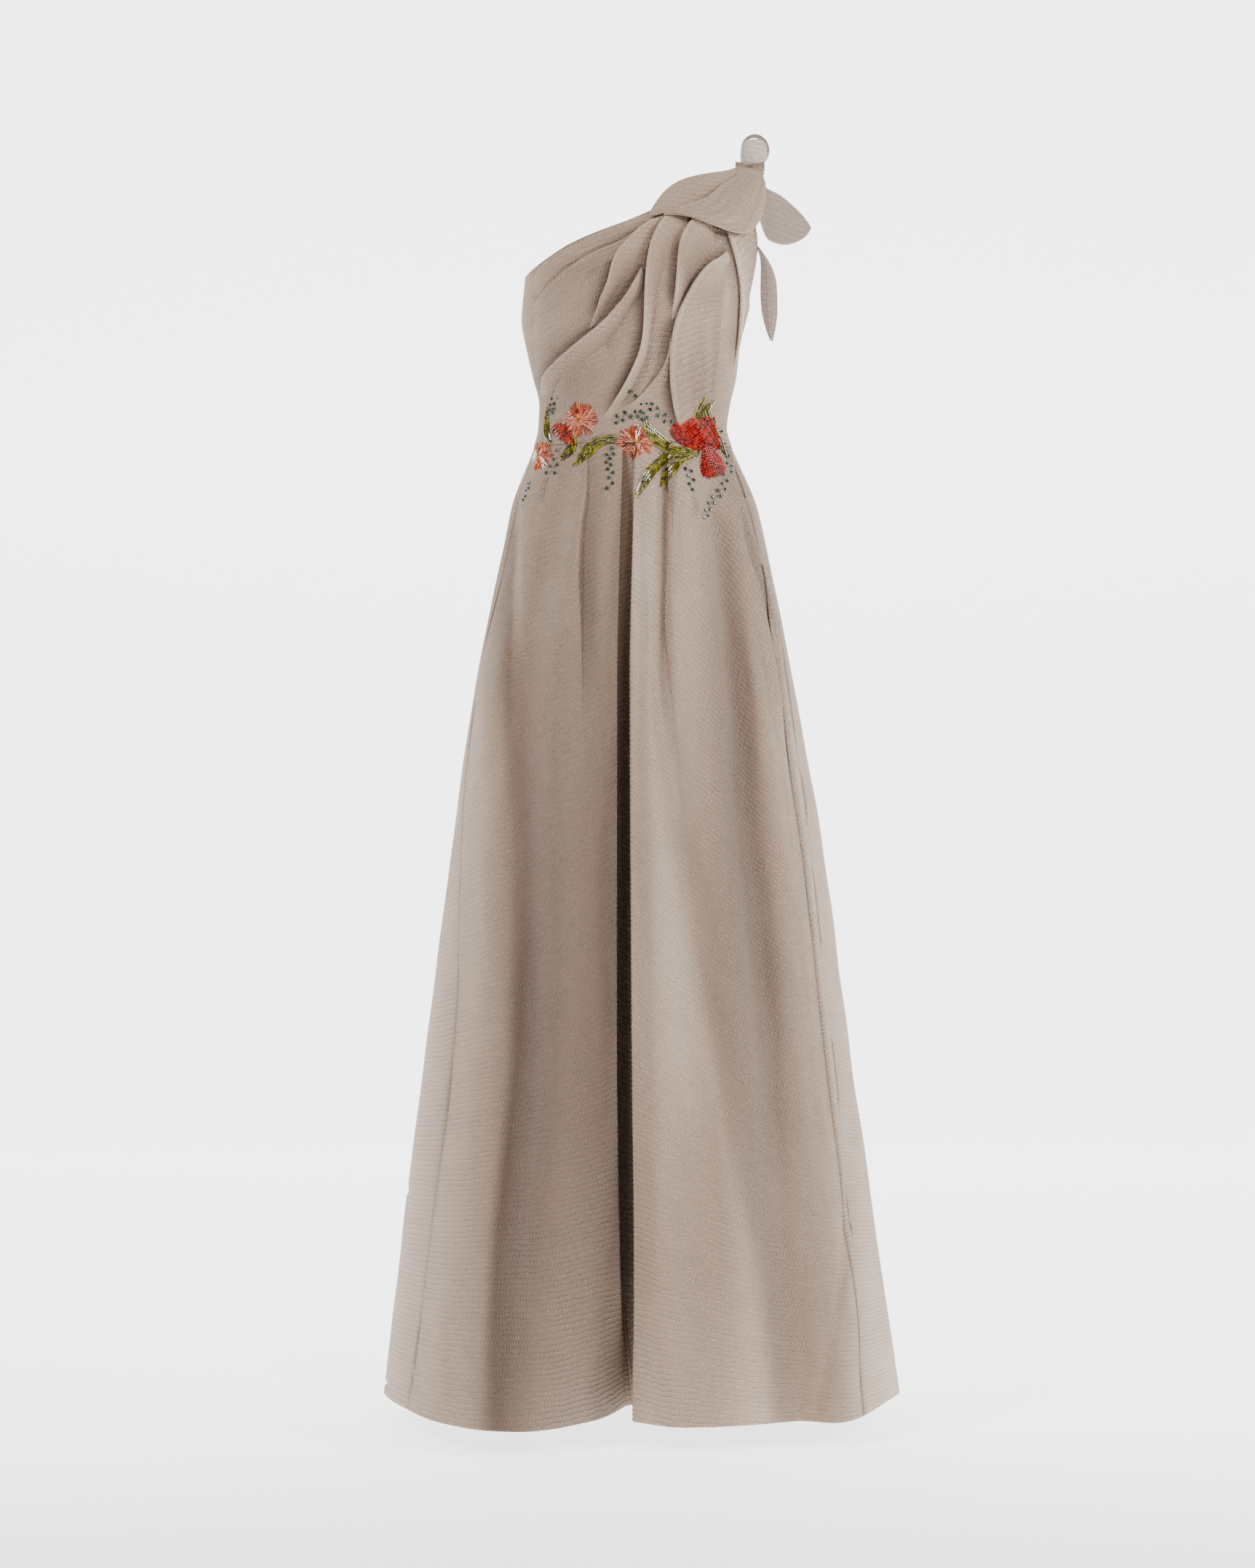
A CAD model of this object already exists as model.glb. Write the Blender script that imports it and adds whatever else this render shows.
"""One-shoulder gown: fine cloth, folds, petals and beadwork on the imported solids. Metres, +Z up.

The tables use a floor frame: the hem lies at height 0, across is 0 at the waist centre, and minus Y
is towards the viewer. Points are moved by HELD_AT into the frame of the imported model.
"""
import math

import bmesh
import bpy
import numpy as np
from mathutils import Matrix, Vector
from mathutils.bvhtree import BVHTree


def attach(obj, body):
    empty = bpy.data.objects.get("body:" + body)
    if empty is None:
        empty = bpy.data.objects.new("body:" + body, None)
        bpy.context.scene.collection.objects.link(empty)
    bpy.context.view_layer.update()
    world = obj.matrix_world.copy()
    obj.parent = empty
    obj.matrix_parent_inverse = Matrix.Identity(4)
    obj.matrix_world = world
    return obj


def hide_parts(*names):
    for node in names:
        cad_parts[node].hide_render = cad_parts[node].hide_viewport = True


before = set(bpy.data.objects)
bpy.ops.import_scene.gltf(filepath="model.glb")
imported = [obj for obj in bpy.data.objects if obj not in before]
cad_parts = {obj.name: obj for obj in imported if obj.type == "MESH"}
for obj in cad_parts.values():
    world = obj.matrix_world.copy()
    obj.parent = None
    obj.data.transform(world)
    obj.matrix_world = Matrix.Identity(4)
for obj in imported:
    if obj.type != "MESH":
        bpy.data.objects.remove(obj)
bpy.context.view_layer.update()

# Named sizes, metres.
MM = 0.001
HELD_AT = np.array((0.145, 0.001, 1.5185))
WAIST_HEIGHT = 1.165
SEAM = 0.00015
CLOTH_THICK = 0.0010
PETAL_THICK = 0.0006
FLOOR_DROP = 0.030
RIB_PITCH = 0.0068
PUFF_LENGTH = 0.0040
PUFF_TILT = -0.55
FRONT_ROWS = 425
BACK_ROWS = 213
COLUMNS_PER_FOLD = 7

# Rings of the skirt: height, half width left, half width right, depth front, depth back.
SKIRT_RINGS = (
    (1.165, 0.122, 0.122, 0.084, 0.080),
    (1.145, 0.130, 0.131, 0.093, 0.090),
    (1.091, 0.150, 0.153, 0.110, 0.112),
    (1.037, 0.161, 0.166, 0.122, 0.126),
    (0.983, 0.172, 0.177, 0.134, 0.141),
    (0.875, 0.193, 0.198, 0.156, 0.168),
    (0.659, 0.225, 0.236, 0.196, 0.215),
    (0.443, 0.253, 0.264, 0.228, 0.256),
    (0.227, 0.280, 0.295, 0.256, 0.293),
    (0.000, 0.307, 0.329, 0.280, 0.326),
)

# Heights at which the folds are given: seam, waist folds, hip, knee, low, hem.
FOLD_HEIGHTS = (1.165, 1.095, 0.875, 0.440, 0.180, 0.000)
LOW_SHARE = 0.35

# Front folds: angle at waist, hip and knee (degrees, minus is left), forward at waist, hip and
# knee (mm), then the place at the hem: across and depth (mm).
FOLDS_LEFT = (
    (-90, -90, -90, 0, 0, 0, -307, 8),
    (-83, -84, -74, 0, 1, 2, -295, -72),
    (-75, -78, -58, 0, 0, 0, -270, -141),
    (-62, -67, -51, 1, 2, 3, -240, -211),
    (-48, -55, -43, 2, 6, 7, -213, -245),
    (-35, -43, -33, -6, -9, -8, -183, -275),
    (-27, -34, -26, 3, 6, 9, -142, -293),
    (-21, -23, -19, 4, 9, 12, -100, -279),
    (-13, -14, -13, 3, 6, 5, -60, -235),
    (-9, -9, -8, 1, 2, 0, -34, -195),
)
FOLDS_RIGHT = (
    (4, 3, 3, 1, 1, 1, 17, -240),
    (10, 6, 8, 3, 4, 5, 42, -259),
    (17, 10, 17, -7, -6, -8, 72, -263),
    (22, 18, 25, 4, 6, 8, 108, -256),
    (31, 30, 32, 2, 4, 6, 144, -241),
    (39, 39, 38, -4, -7, -4, 186, -222),
    (48, 48, 46, 4, 7, 4, 205, -221),
    (57, 54, 53, 1, 1, 1, 240, -230),
    (67, 61, 60, 0, 0, 0, 274, -183),
    (79, 75, 75, 0, -3, -4, 309, -82),
    (90, 90, 90, 0, 0, 0, 329, 0),
)

# Back and side folds: angle, then outward at waist, hip, knee and hem (mm).
FOLDS_BACK_LEFT = (
    (-180, 0, -2, -4, -5),
    (-170, 2, 6, 12, 17),
    (-159, -2, -6, -13, -20),
    (-147, 2, 7, 14, 22),
    (-134, -2, -6, -11, -18),
    (-120, 1, 4, 9, 14),
    (-105, 0, -2, -5, -8),
)
FOLDS_BACK_RIGHT = (
    (104, 0, -3, -5, -9),
    (118, 1, 5, 11, 17),
    (131, -2, -5, -12, -19),
    (145, 2, 6, 13, 20),
    (158, -2, -7, -14, -22),
    (169, 2, 6, 11, 15),
    (180, 0, -2, -4, -5),
)

# Centre-front inverted pleat: height, then across and depth (mm) of the left fold edge, the left
# deep corner, the right deep corner and the right fold edge.
PLEAT = (
    (1.165, -12.6, -83.6, -13.6, -79.0, 2.6, -79.0, 1.0, -83.8),
    (1.095, -14.5, -110.5, -17.0, -95.0, 3.0, -95.0, 0.5, -110.5),
    (0.875, -19.2, -158.0, -21.0, -124.0, 0.0, -124.0, -4.3, -157.5),
    (0.440, -19.5, -226.0, -20.0, -168.0, 4.0, -168.0, -1.8, -226.0),
    (0.180, -15.5, -225.0, -14.0, -160.0, 12.0, -160.0, 0.8, -243.0),
    (0.000, -9.0, -116.0, 5.0, -100.0, 26.0, -101.0, -1.0, -221.0),
)

# Knife pleats of the skirt front: the run, the side of the upper cloth, the way down as across and
# height (mm), then height and depth of the pleat down its way (share of the way, mm).
KNIFE_PLEATS = {
    "left": (
        (-1, ((-56, 1165), (-57, 1113), (-65, 1053), (-67, 1000), (-65, 950), (-63, 880),
              (-62, 800), (-68, 640), (-80, 440), (-100, 200), (-120, 0)),
         ((0.00, 2.0), (0.045, 4.5), (0.10, 6.5), (0.145, 6.5), (0.19, 4.5), (0.245, 2.2),
          (0.32, 0.7), (0.42, 0.0), (1.0, 0.0))),
    ),
    "right": (
        (1, ((44, 1165), (46, 1123), (42, 1080), (41, 1047), (40.5, 1006), (40.5, 965),
             (45, 899), (54, 800), (70, 640), (92, 440), (116, 200), (130, 0)),
         ((0.00, 2.0), (0.04, 5.0), (0.10, 6.0), (0.17, 5.0), (0.23, 3.2), (0.32, 1.4),
          (0.42, 0.0), (1.0, 0.0))),
        (-1, ((121, 1165), (126, 1113), (132, 1052), (151, 985), (165, 916), (176, 836),
              (196, 640), (219, 440), (243, 240), (262, 0)),
         ((0.00, 0.5), (0.05, 2.2), (0.10, 3.4), (0.20, 4.2), (0.30, 3.0), (0.45, 1.8),
          (0.60, 1.4), (0.72, 1.0), (0.85, 0.0), (1.0, 0.0))),
    ),
}

# Section of a knife pleat: place when flat and when folded (mm, plus is the upper cloth), height.
PLEAT_SECTION = (
    (22.0, 22.0, 0.20), (14.0, 14.0, 0.55), (9.0, 9.0, 0.80), (5.0, 5.0, 0.95), (2.6, 2.2, 1.00),
    (1.0, -0.2, 0.98), (0.0, -1.8, 0.82), (-0.8, -2.4, 0.52), (-1.6, -1.6, 0.18),
    (-2.6, 0.2, -0.15), (-4.0, -1.6, -0.40), (-6.5, -6.0, -0.48), (-11.0, -11.0, -0.38),
    (-18.0, -18.0, -0.16), (-26.0, -26.0, 0.0),
)

# Soft folds of the skirt: the way down as height, across (mm) and strength, then the section as
# distance to the right of the way and rise (mm).
SKIRT_FOLDS = {
    "left_side_edge": (
        ((1120, -131, 0.3), (1075, -137, 1.0), (1010, -138, 1.0), (949, -137, 1.0),
         (880, -133, 0.6), (800, -128, 0.0), (0, -128, 0.0)),
        ((-45, 0), (-26, -2.5), (-11, -5.5), (-5, -4.5), (0, 0.0), (4, 2.6), (10, 2.8), (40, 0.6),
         (62, 0))),
    "left_valley": (
        ((1000, -143, 0.0), (930, -144, 0.6), (862, -144, 1.0), (775, -142, 1.0), (646, -137, 1.0),
         (431, -139, 1.0), (346, -146, 1.0), (219, -158, 1.0), (93, -165, 0.9), (0, -168, 0.8)),
        ((-80, 0), (-50, 2.8), (-24, 6.0), (-12, 5.2), (0, 0.0), (9, -4.4), (18, -5.4),
         (34, -3.0), (56, -0.8), (75, 0))),
    "left_middle": (
        ((1120, -90, 0.0), (1000, -92, 1.0), (800, -93, 1.0), (600, -92, 0.8), (300, -92, 0.5),
         (0, -92, 0.3)),
        ((-30, 0), (-14, 0.8), (0, 2.4), (14, 1.4), (32, -1.0), (52, 0))),
    "right_crest": (
        ((900, 12, 0.0), (830, 16, 0.5), (732, 25, 0.8), (646, 41, 1.0), (560, 58, 1.0),
         (475, 74, 1.0), (390, 89, 1.0), (305, 106, 1.0), (237, 121, 1.0), (177, 136, 1.0),
         (108, 146, 1.0), (0, 157, 0.9)),
        ((-75, 0), (-44, 1.6), (-18, 5.0), (-5, 7.4), (2, 7.0), (10, 3.4), (20, 0.2), (34, -1.4),
         (60, 0))),
    "right_valley": (
        ((1120, 104, 0.2), (1055, 112, 0.7), (949, 122, 1.0), (818, 129, 1.0), (731, 129, 1.0),
         (611, 141, 1.0), (534, 150, 1.0), (432, 158, 0.8), (338, 164, 0.6), (237, 167, 0.4),
         (134, 166, 0.2), (0, 166, 0.1)),
        ((-72, 0), (-48, 3.4), (-30, 4.6), (-12, -1.6), (-2, -5.0), (8, -5.2), (26, 0.4),
         (42, 2.8), (70, 0))),
    "right_low_edge": (
        ((420, 270, 0.0), (300, 262, 0.5), (169, 249, 1.0), (80, 233, 1.0), (0, 215, 1.0)),
        ((-50, 0), (-22, 1.8), (-9, 1.2), (-3, -1.8), (2, -1.6), (8, 2.0), (20, 3.0), (50, 0))),
    "right_second_edge": (
        ((1130, 128, 0.3), (1084, 133, 1.0), (1034, 149, 1.0), (988, 160, 1.0), (931, 176, 0.7),
         (880, 186, 0.0), (0, 186, 0.0)),
        ((-16, 0), (-7, 0.8), (-1, 2.2), (2, 1.6), (5, -0.6), (9, -0.8), (16, 0))),
    "left_low_edge": (
        ((520, -212, 0.0), (442, -219, 1.0), (360, -230, 1.0), (300, -236, 0.6), (220, -244, 0.0),
         (0, -244, 0.0)),
        ((-26, 0), (-10, 1.6), (-2, 2.2), (2, 0.6), (6, -1.4), (14, -0.8), (30, 0))),
    "left_short_crease": (
        ((880, -151, 0.0), (840, -152, 1.0), (760, -153, 1.0), (700, -156, 0.0), (0, -156, 0.0)),
        ((-12, 0), (-5, 1.4), (0, 3.0), (4, 1.2), (12, 0))),
    "left_waist_line": (
        ((1165, -120, 0.0), (1129, -127, 0.9), (1086, -137, 1.0), (1020, -147, 0.5),
         (960, -155, 0.0), (0, -155, 0.0)),
        ((-12, 0), (-5, 1.2), (0, -2.0), (5, 1.2), (12, 0))),
}

# How much darker (plus) or paler (minus) the cloth looks where inner layers lie under it or end:
# the way down as height, across (mm) and strength, then the section as distance and share.
SKIRT_TONES = {
    "left_lining": (
        ((1165, -110, 0.0), (1060, -124, 0.0), (949, -134, 0.1), (880, -138, 0.35),
         (775, -141, 0.6), (646, -137, 0.8), (431, -140, 0.95), (346, -147, 1.0),
         (219, -160, 1.0), (93, -167, 0.9), (0, -170, 0.8)),
        ((-30, 0), (-12, 0.20), (0, 0.78), (12, 0.98), (26, 0.80), (60, 0.52), (100, 0.46),
         (150, 0.36), (190, 0.0))),
    "left_side_shade": (
        ((1120, -136, 0.0), (1075, -142, 0.8), (1010, -144, 1.0), (949, -145, 1.0),
         (850, -146, 0.6), (770, -146, 0.0), (0, -146, 0.0)),
        ((-46, 0), (-20, 0.48), (-4, 0.66), (2, 0.0), (8, 0.0))),
    "left_inner": (
        ((1165, -13, 0.5), (1000, -17, 0.8), (875, -20, 1.0), (440, -20, 1.0), (180, -16, 1.0),
         (0, -10, 0.6)),
        ((-130, 0), (-90, 0.08), (-60, 0.14), (-34, 0.26), (-14, 0.42), (0, 0.54), (10, 0.58))),
    "left_pleat_shade": (
        ((1165, -53, 0.3), (1113, -53, 0.7), (1053, -58, 1.0), (1000, -61, 1.0), (950, -59, 0.9),
         (880, -58, 0.4), (820, -58, 0.0), (0, -58, 0.0)),
        ((-14, 0), (-6, 0.12), (-1, 0.50), (8, 0.42), (22, 0.10), (34, 0))),
    "right_pleat_shade": (
        ((1165, 42, 0.3), (1123, 43, 0.7), (1080, 38, 1.0), (1006, 36, 1.0), (965, 36, 0.9),
         (899, 40, 0.6), (830, 46, 0.0), (0, 46, 0.0)),
        ((-20, 0), (-8, 0.10), (0, 0.58), (7, 0.62), (11, 0.05), (18, 0))),
    "right_crest_shade": (
        ((900, 22, 0.0), (830, 26, 0.2), (732, 35, 0.4), (646, 51, 0.6), (475, 84, 0.8),
         (305, 116, 1.0), (177, 146, 1.0), (108, 156, 1.0), (0, 167, 0.9)),
        ((-8, 0), (-2, 0.12), (8, 0.34), (24, 0.28), (50, 0.16), (90, 0.02), (110, 0))),
    "right_valley_shade": (
        ((1120, 104, 0.0), (1055, 112, 0.6), (949, 122, 1.0), (818, 129, 1.0), (731, 129, 1.0),
         (611, 141, 1.0), (534, 150, 0.9), (432, 158, 0.6), (338, 164, 0.4), (237, 167, 0.0),
         (0, 167, 0.0)),
        ((-40, 0), (-20, 0.14), (-6, 0.34), (6, 0.34), (24, 0.10), (40, 0))),
    "right_edge_shade": (
        ((1130, 134, 0.0), (1084, 142, 0.7), (1000, 162, 1.0), (930, 178, 0.9), (850, 188, 0.3),
         (800, 194, 0.0), (0, 194, 0.0)),
        ((-18, 0), (-7, 0.30), (0, 0.42), (7, 0.10), (16, 0))),
    "left_shade": (
        ((1120, -70, 0.0), (1000, -75, 0.08), (700, -90, 0.12), (500, -110, 0.20),
         (219, -140, 0.28), (0, -150, 0.28)),
        ((-90, 0), (-60, 0.5), (0, 0.7), (60, 0.6), (100, 0.5), (130, 0))),
    "right_inner_light": (
        ((1165, 22, 0.5), (1000, 18, 1.0), (600, 16, 1.1), (430, 16, 1.0), (219, 16, 0.5),
         (0, 16, 0.3)),
        ((-30, 0), (-23, -0.1), (-17, -0.80), (-8, -0.85), (12, -0.80), (34, -0.60), (70, -0.2),
         (100, 0))),
    "right_light": (
        ((1165, 90, 0.4), (900, 76, 0.6), (600, 74, 0.6), (219, 126, 1.0), (0, 148, 0.9)),
        ((-110, 0), (-60, -0.16), (-20, -0.50), (0, -0.62), (30, -0.36), (90, -0.30),
         (140, 0))),
    "left_sheer_rim": (
        ((1165, -126, 0.0), (1000, -168, 0.3), (800, -205, 0.8), (440, -250, 1.0),
         (0, -303, 1.0)),
        ((-30, -0.75), (-8, -0.60), (10, -0.35), (34, -0.12), (70, 0))),
    "right_sheer_rim": (
        ((1165, 126, 0.0), (1000, 172, 0.4), (800, 210, 0.9), (440, 262, 1.0), (0, 322, 1.0)),
        ((-76, 0), (-44, -0.50), (-16, -0.90), (6, -1.0), (30, -1.0))),
}

# Rings of the bodice on a general figure: height, half width left and right, depth front and back.
BODICE_RINGS = (
    (1.165, 0.122, 0.122, 0.084, 0.080),
    (1.190, 0.116, 0.1155, 0.085, 0.079),
    (1.217, 0.115, 0.119, 0.089, 0.080),
    (1.253, 0.123, 0.127, 0.099, 0.084),
    (1.289, 0.131, 0.131, 0.111, 0.090),
    (1.325, 0.137, 0.1395, 0.121, 0.095),
    (1.361, 0.134, 0.149, 0.121, 0.098),
    (1.397, 0.130, 0.156, 0.111, 0.099),
    (1.430, 0.128, 0.162, 0.098, 0.094),
    (1.460, 0.128, 0.168, 0.081, 0.082),
    (1.485, 0.130, 0.173, 0.060, 0.064),
    (1.505, 0.132, 0.178, 0.036, 0.040),
    (1.519, 0.134, 0.182, 0.012, 0.014),
)

# Top edges of the bodice: share of the way round the panel, across (mm), height (mm).
TOP_FRONT = (
    (0.000, -128.0, 1377), (0.070, -108.0, 1388), (0.150, -80.0, 1404), (0.240, -49.0, 1416),
    (0.360, -8.0, 1431), (0.450, 25.0, 1447), (0.530, 55.0, 1463), (0.640, 95.0, 1483),
    (0.740, 127.0, 1506), (0.800, 145.0, 1506), (0.850, 162.0, 1504), (0.890, 152.0, 1466),
    (0.930, 147.0, 1425), (0.965, 144.0, 1382), (1.000, 142.5, 1338),
)
TOP_BACK_LEFT = (
    (0.000, -0.02, 1392), (0.250, -30.0, 1381), (0.500, -62.0, 1374), (0.800, -102.0, 1372),
    (1.000, -128.0, 1377),
)
TOP_BACK_RIGHT = (
    (0.000, 142.5, 1338), (0.070, 143.5, 1382), (0.140, 145.5, 1425), (0.220, 150.0, 1466),
    (0.300, 162.0, 1504), (0.400, 145.0, 1506), (0.500, 127.0, 1506), (0.640, 93.0, 1466),
    (0.800, 50.0, 1427), (0.900, 25.0, 1408), (1.000, 0.02, 1392),
)

# Soft creases of the bodice front: half width and height (mm), then the way down as across and
# height (mm). A minus height is a valley.
BODICE_CREASES = (
    (5.0, 3.2, ((26, 1441), (-20, 1419), (-60, 1404), (-95, 1386), (-126, 1362))),
    (7.0, -4.0, ((20, 1427), (-14, 1406), (-40, 1392), (-72, 1373), (-120, 1334))),
    (10.0, 4.0, ((-6, 1392), (-34, 1372), (-66, 1350), (-104, 1315), (-126, 1286))),
    (9.0, -3.6, ((-24, 1340), (-50, 1318), (-88, 1290), (-112, 1262))),
    (9.0, 3.0, ((10, 1340), (0, 1290), (-22, 1250), (-52, 1212))),
    (7.0, -2.2, ((36, 1330), (34, 1280), (20, 1235), (0, 1195))),
    (5.0, -2.4, ((-45, 1275), (-70, 1258), (-88, 1241), (-98, 1218))),
    (5.0, 2.4, ((-30, 1290), (-60, 1268), (-78, 1246), (-86, 1220))),
    (4.0, -1.8, ((5, 1275), (-5, 1245), (-22, 1215), (-39, 1192))),
    (5.0, 2.0, ((28, 1275), (22, 1254), (10, 1230), (-8, 1208))),
    (3.5, -1.6, ((65, 1290), (65, 1256), (70, 1225), (72, 1195))),
    (5.0, 1.8, ((82, 1330), (84, 1290), (86, 1250), (84, 1210))),
    (4.5, -1.8, ((98, 1340), (98, 1290), (98, 1250), (94, 1205))),
    (5.0, -1.8, ((-112, 1330), (-122, 1300), (-120, 1262), (-112, 1228))),
)

# Draped folds on the bodice front. Each has a free edge and a root, as across and height (mm), the
# lift of the edge off the bodice (mm), and the node that it stands for, if it has one.
DRAPE_FOLDS = {
    "drape_fold_upper": {
        "edge": ((38, 1438), (16, 1426), (2, 1415), (-12, 1400), (-22, 1381), (-30, 1354),
                 (-39, 1333), (-53, 1301)),
        "root": ((46, 1430), (34, 1420), (25, 1408), (12, 1388), (-3, 1366), (-20, 1343),
                 (-36, 1318), (-51, 1299)),
        "lift": 8.5,
    },
    "drape_fold_lower": {
        "edge": ((10, 1371), (1, 1355), (-9, 1338), (-26, 1318), (-51, 1297), (-86, 1270),
                 (-106, 1248), (-112, 1229)),
        "root": ((12, 1366), (9, 1344), (-1, 1325), (-13, 1306), (-30, 1281), (-50, 1253),
                 (-82, 1234), (-109, 1224)),
        "lift": 9.0,
    },
    "drape_fold_long": {
        "edge": ((68, 1441), (42, 1437), (28, 1420), (19, 1394), (14, 1351), (12, 1301),
                 (4, 1265), (-16, 1225), (-39, 1192)),
        "root": ((62, 1412), (53, 1402), (46, 1388), (38, 1369), (29, 1344), (22, 1301),
                 (15, 1265), (-5, 1225), (-31, 1189)),
        "lift": 9.0,
    },
    "drape_fold_middle": {
        "edge": ((94, 1440), (79, 1439), (67, 1429), (59, 1415), (54, 1396), (50, 1352),
                 (46, 1312)),
        "root": ((99, 1394), (93, 1390), (84, 1379), (77, 1371), (69, 1358), (61, 1339),
                 (50, 1308)),
        "lift": 9.5,
    },
    "drape_fold_wide": {
        "edge": ((112, 1397), (101, 1387), (91, 1380), (76, 1363), (61, 1337), (49, 1307),
                 (44, 1275), (44, 1240), (50, 1200), (62, 1170)),
        "root": ((118, 1386), (114, 1376), (113, 1362), (111, 1348), (110, 1331), (109, 1300),
                 (107, 1270), (100, 1235), (86, 1200), (68, 1170)),
        "lift": 8.0,
    },
    "side_drape": {
        "edge": ((108, 1434), (115, 1413), (121, 1393), (124, 1378), (127, 1360), (128, 1336),
                 (126, 1300), (123, 1255)),
        "root": ((149, 1441), (152, 1421), (152, 1402), (149, 1380), (144, 1356), (138, 1330),
                 (130, 1296), (125.5, 1250)),
        "lift": 6.5,
    },
}

# Smaller creases that lie on the bodice front as low folds of the same cloth.
LOW_FOLDS = {
    "neck_crease": {
        "edge": ((30, 1444), (10, 1436), (-8, 1429), (-49, 1411), (-87, 1394), (-112, 1377),
                 (-122, 1362)),
        "root": ((24, 1428), (6, 1420), (-16, 1412), (-54, 1394), (-88, 1374), (-108, 1354),
                 (-116, 1336)),
        "lift": 3.2,
    },
    "bust_crease": {
        "edge": ((14, 1427), (-8, 1411), (-28, 1401), (-56, 1388), (-84, 1370), (-106, 1350),
                 (-124, 1328)),
        "root": ((2, 1396), (-20, 1382), (-42, 1372), (-66, 1358), (-90, 1338), (-108, 1316),
                 (-121, 1296)),
        "lift": 4.2,
    },
    "side_crease": {
        "edge": ((-50, 1371), (-76, 1358), (-96, 1344), (-113, 1326), (-124, 1302)),
        "root": ((-58, 1350), (-80, 1336), (-98, 1320), (-112, 1300), (-121, 1280)),
        "lift": 2.2,
    },
    "waist_crease_left": {
        "edge": ((-32, 1283), (-53, 1268), (-75, 1254), (-91, 1238), (-99, 1218)),
        "root": ((-22, 1262), (-42, 1248), (-60, 1236), (-74, 1220), (-80, 1202)),
        "lift": 3.4,
    },
    "waist_crease_middle": {
        "edge": ((46, 1300), (43, 1276), (35, 1254), (21, 1235), (3, 1216), (-18, 1203)),
        "root": ((44, 1292), (44, 1268), (42, 1244), (34, 1224), (20, 1206), (0, 1194)),
        "lift": 3.0,
    },
}

# Broad shade (plus) and light (minus) on the bodice: across, height, half width, half height (mm)
# and share.
BODICE_TONES = (
    (-55, 1300, 75, 110, 0.14), (-84, 1243, 48, 50, 0.42), (-14, 1345, 32, 45, 0.26),
    (72, 1243, 30, 45, 0.28), (122, 1350, 18, 60, -0.35), (80, 1345, 22, 40, 0.10),
    (-60, 1395, 60, 12, -0.10),
)

# Collar flap. Each row: across and height (mm) of one side, of the other, then how far both lie in
# front of the bodice (mm).
COLLAR_ROWS = (
    (17, 1434, 18, 1439, 1.9, 2.4), (36, 1440, 31, 1459, 1.8, 7.0),
    (58, 1448, 47, 1475, 1.8, 8.0), (80, 1459, 68, 1485, 1.8, 8.0),
    (100, 1469, 94, 1493, 1.8, 7.5), (114, 1480, 112, 1500, 1.8, 5.5),
    (126, 1488, 128, 1508, 1.8, 3.0),
)
# Free petals: across, height and depth (mm) of one side, then of the other, and the bulge (mm).
FRONT_PETAL_ROWS = (
    (128, 1503, -27, 160, 1500, -20, 0.6), (124, 1494, -46, 163, 1485, -36, 4.0),
    (108, 1482, -62, 162, 1462, -44, 8.0), (94, 1468, -77, 155, 1439, -53, 10.0),
    (80, 1459, -87, 138, 1421, -72, 10.0), (60, 1451, -95, 105, 1424, -94, 7.0),
    (44, 1446, -101, 68, 1436, -102, 4.0), (33, 1442, -103, 39, 1438, -104.5, 0.6),
)
SIDE_PETAL_ROWS = (
    (160, 1484, -36.5, 154, 1442, -50.0, 0.4), (168, 1480, -33, 162, 1422, -41, 3.0),
    (180, 1474, -32, 171, 1415, -36, 6.0),
    (193, 1464, -30, 184, 1412, -33, 7.0), (206, 1452, -28, 198, 1415, -30, 6.0),
    (215, 1441, -26, 210, 1422, -27, 3.0), (219, 1434, -25, 216, 1429, -25, 0.6),
)
TAIL_PETAL_ROWS = (
    (149, 1415, -31.0, 152.5, 1413, -29.6, 0.4), (156, 1398, -25.4, 167, 1394, -23.4, 3.0),
    (157, 1376, -20, 176, 1372, -20, 5.0), (157, 1352, -18, 178, 1350, -19, 5.5),
    (159, 1330, -17, 178, 1328, -18, 5.0), (164, 1310, -16, 175, 1308, -17, 3.0),
    (169, 1297, -16, 172.5, 1296, -16, 0.6),
)


def column(rows, index):
    """One column of a table."""
    return [row[index] for row in rows]


def smooth(knots, values, at):
    """Rounded curve through the values, which never runs past them; knots may rise or fall."""
    knots = np.asarray(knots, dtype=float)
    values = np.asarray(values, dtype=float)
    if knots[0] > knots[-1]:
        knots = knots[::-1]
        values = values[::-1]
    steps = np.diff(knots)
    slopes = np.diff(values) / steps
    tangents = np.zeros(len(knots))
    for i in range(1, len(knots) - 1):
        if slopes[i - 1] * slopes[i] > 0.0:
            before = 2.0 * steps[i] + steps[i - 1]
            after = steps[i] + 2.0 * steps[i - 1]
            tangents[i] = (before + after) / (before / slopes[i - 1] + after / slopes[i])
    tangents[0] = slopes[0]
    tangents[-1] = slopes[-1]
    at = np.clip(np.asarray(at, dtype=float), knots[0], knots[-1])
    place = np.clip(np.searchsorted(knots, at, side="right") - 1, 0, len(steps) - 1)
    width = steps[place]
    t = (at - knots[place]) / width
    low = values[place]
    high = values[place + 1]
    return ((2 * t**3 - 3 * t**2 + 1) * low + (t**3 - 2 * t**2 + t) * width * tangents[place]
            + (3 * t**2 - 2 * t**3) * high + (t**3 - t**2) * width * tangents[place + 1])


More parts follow.
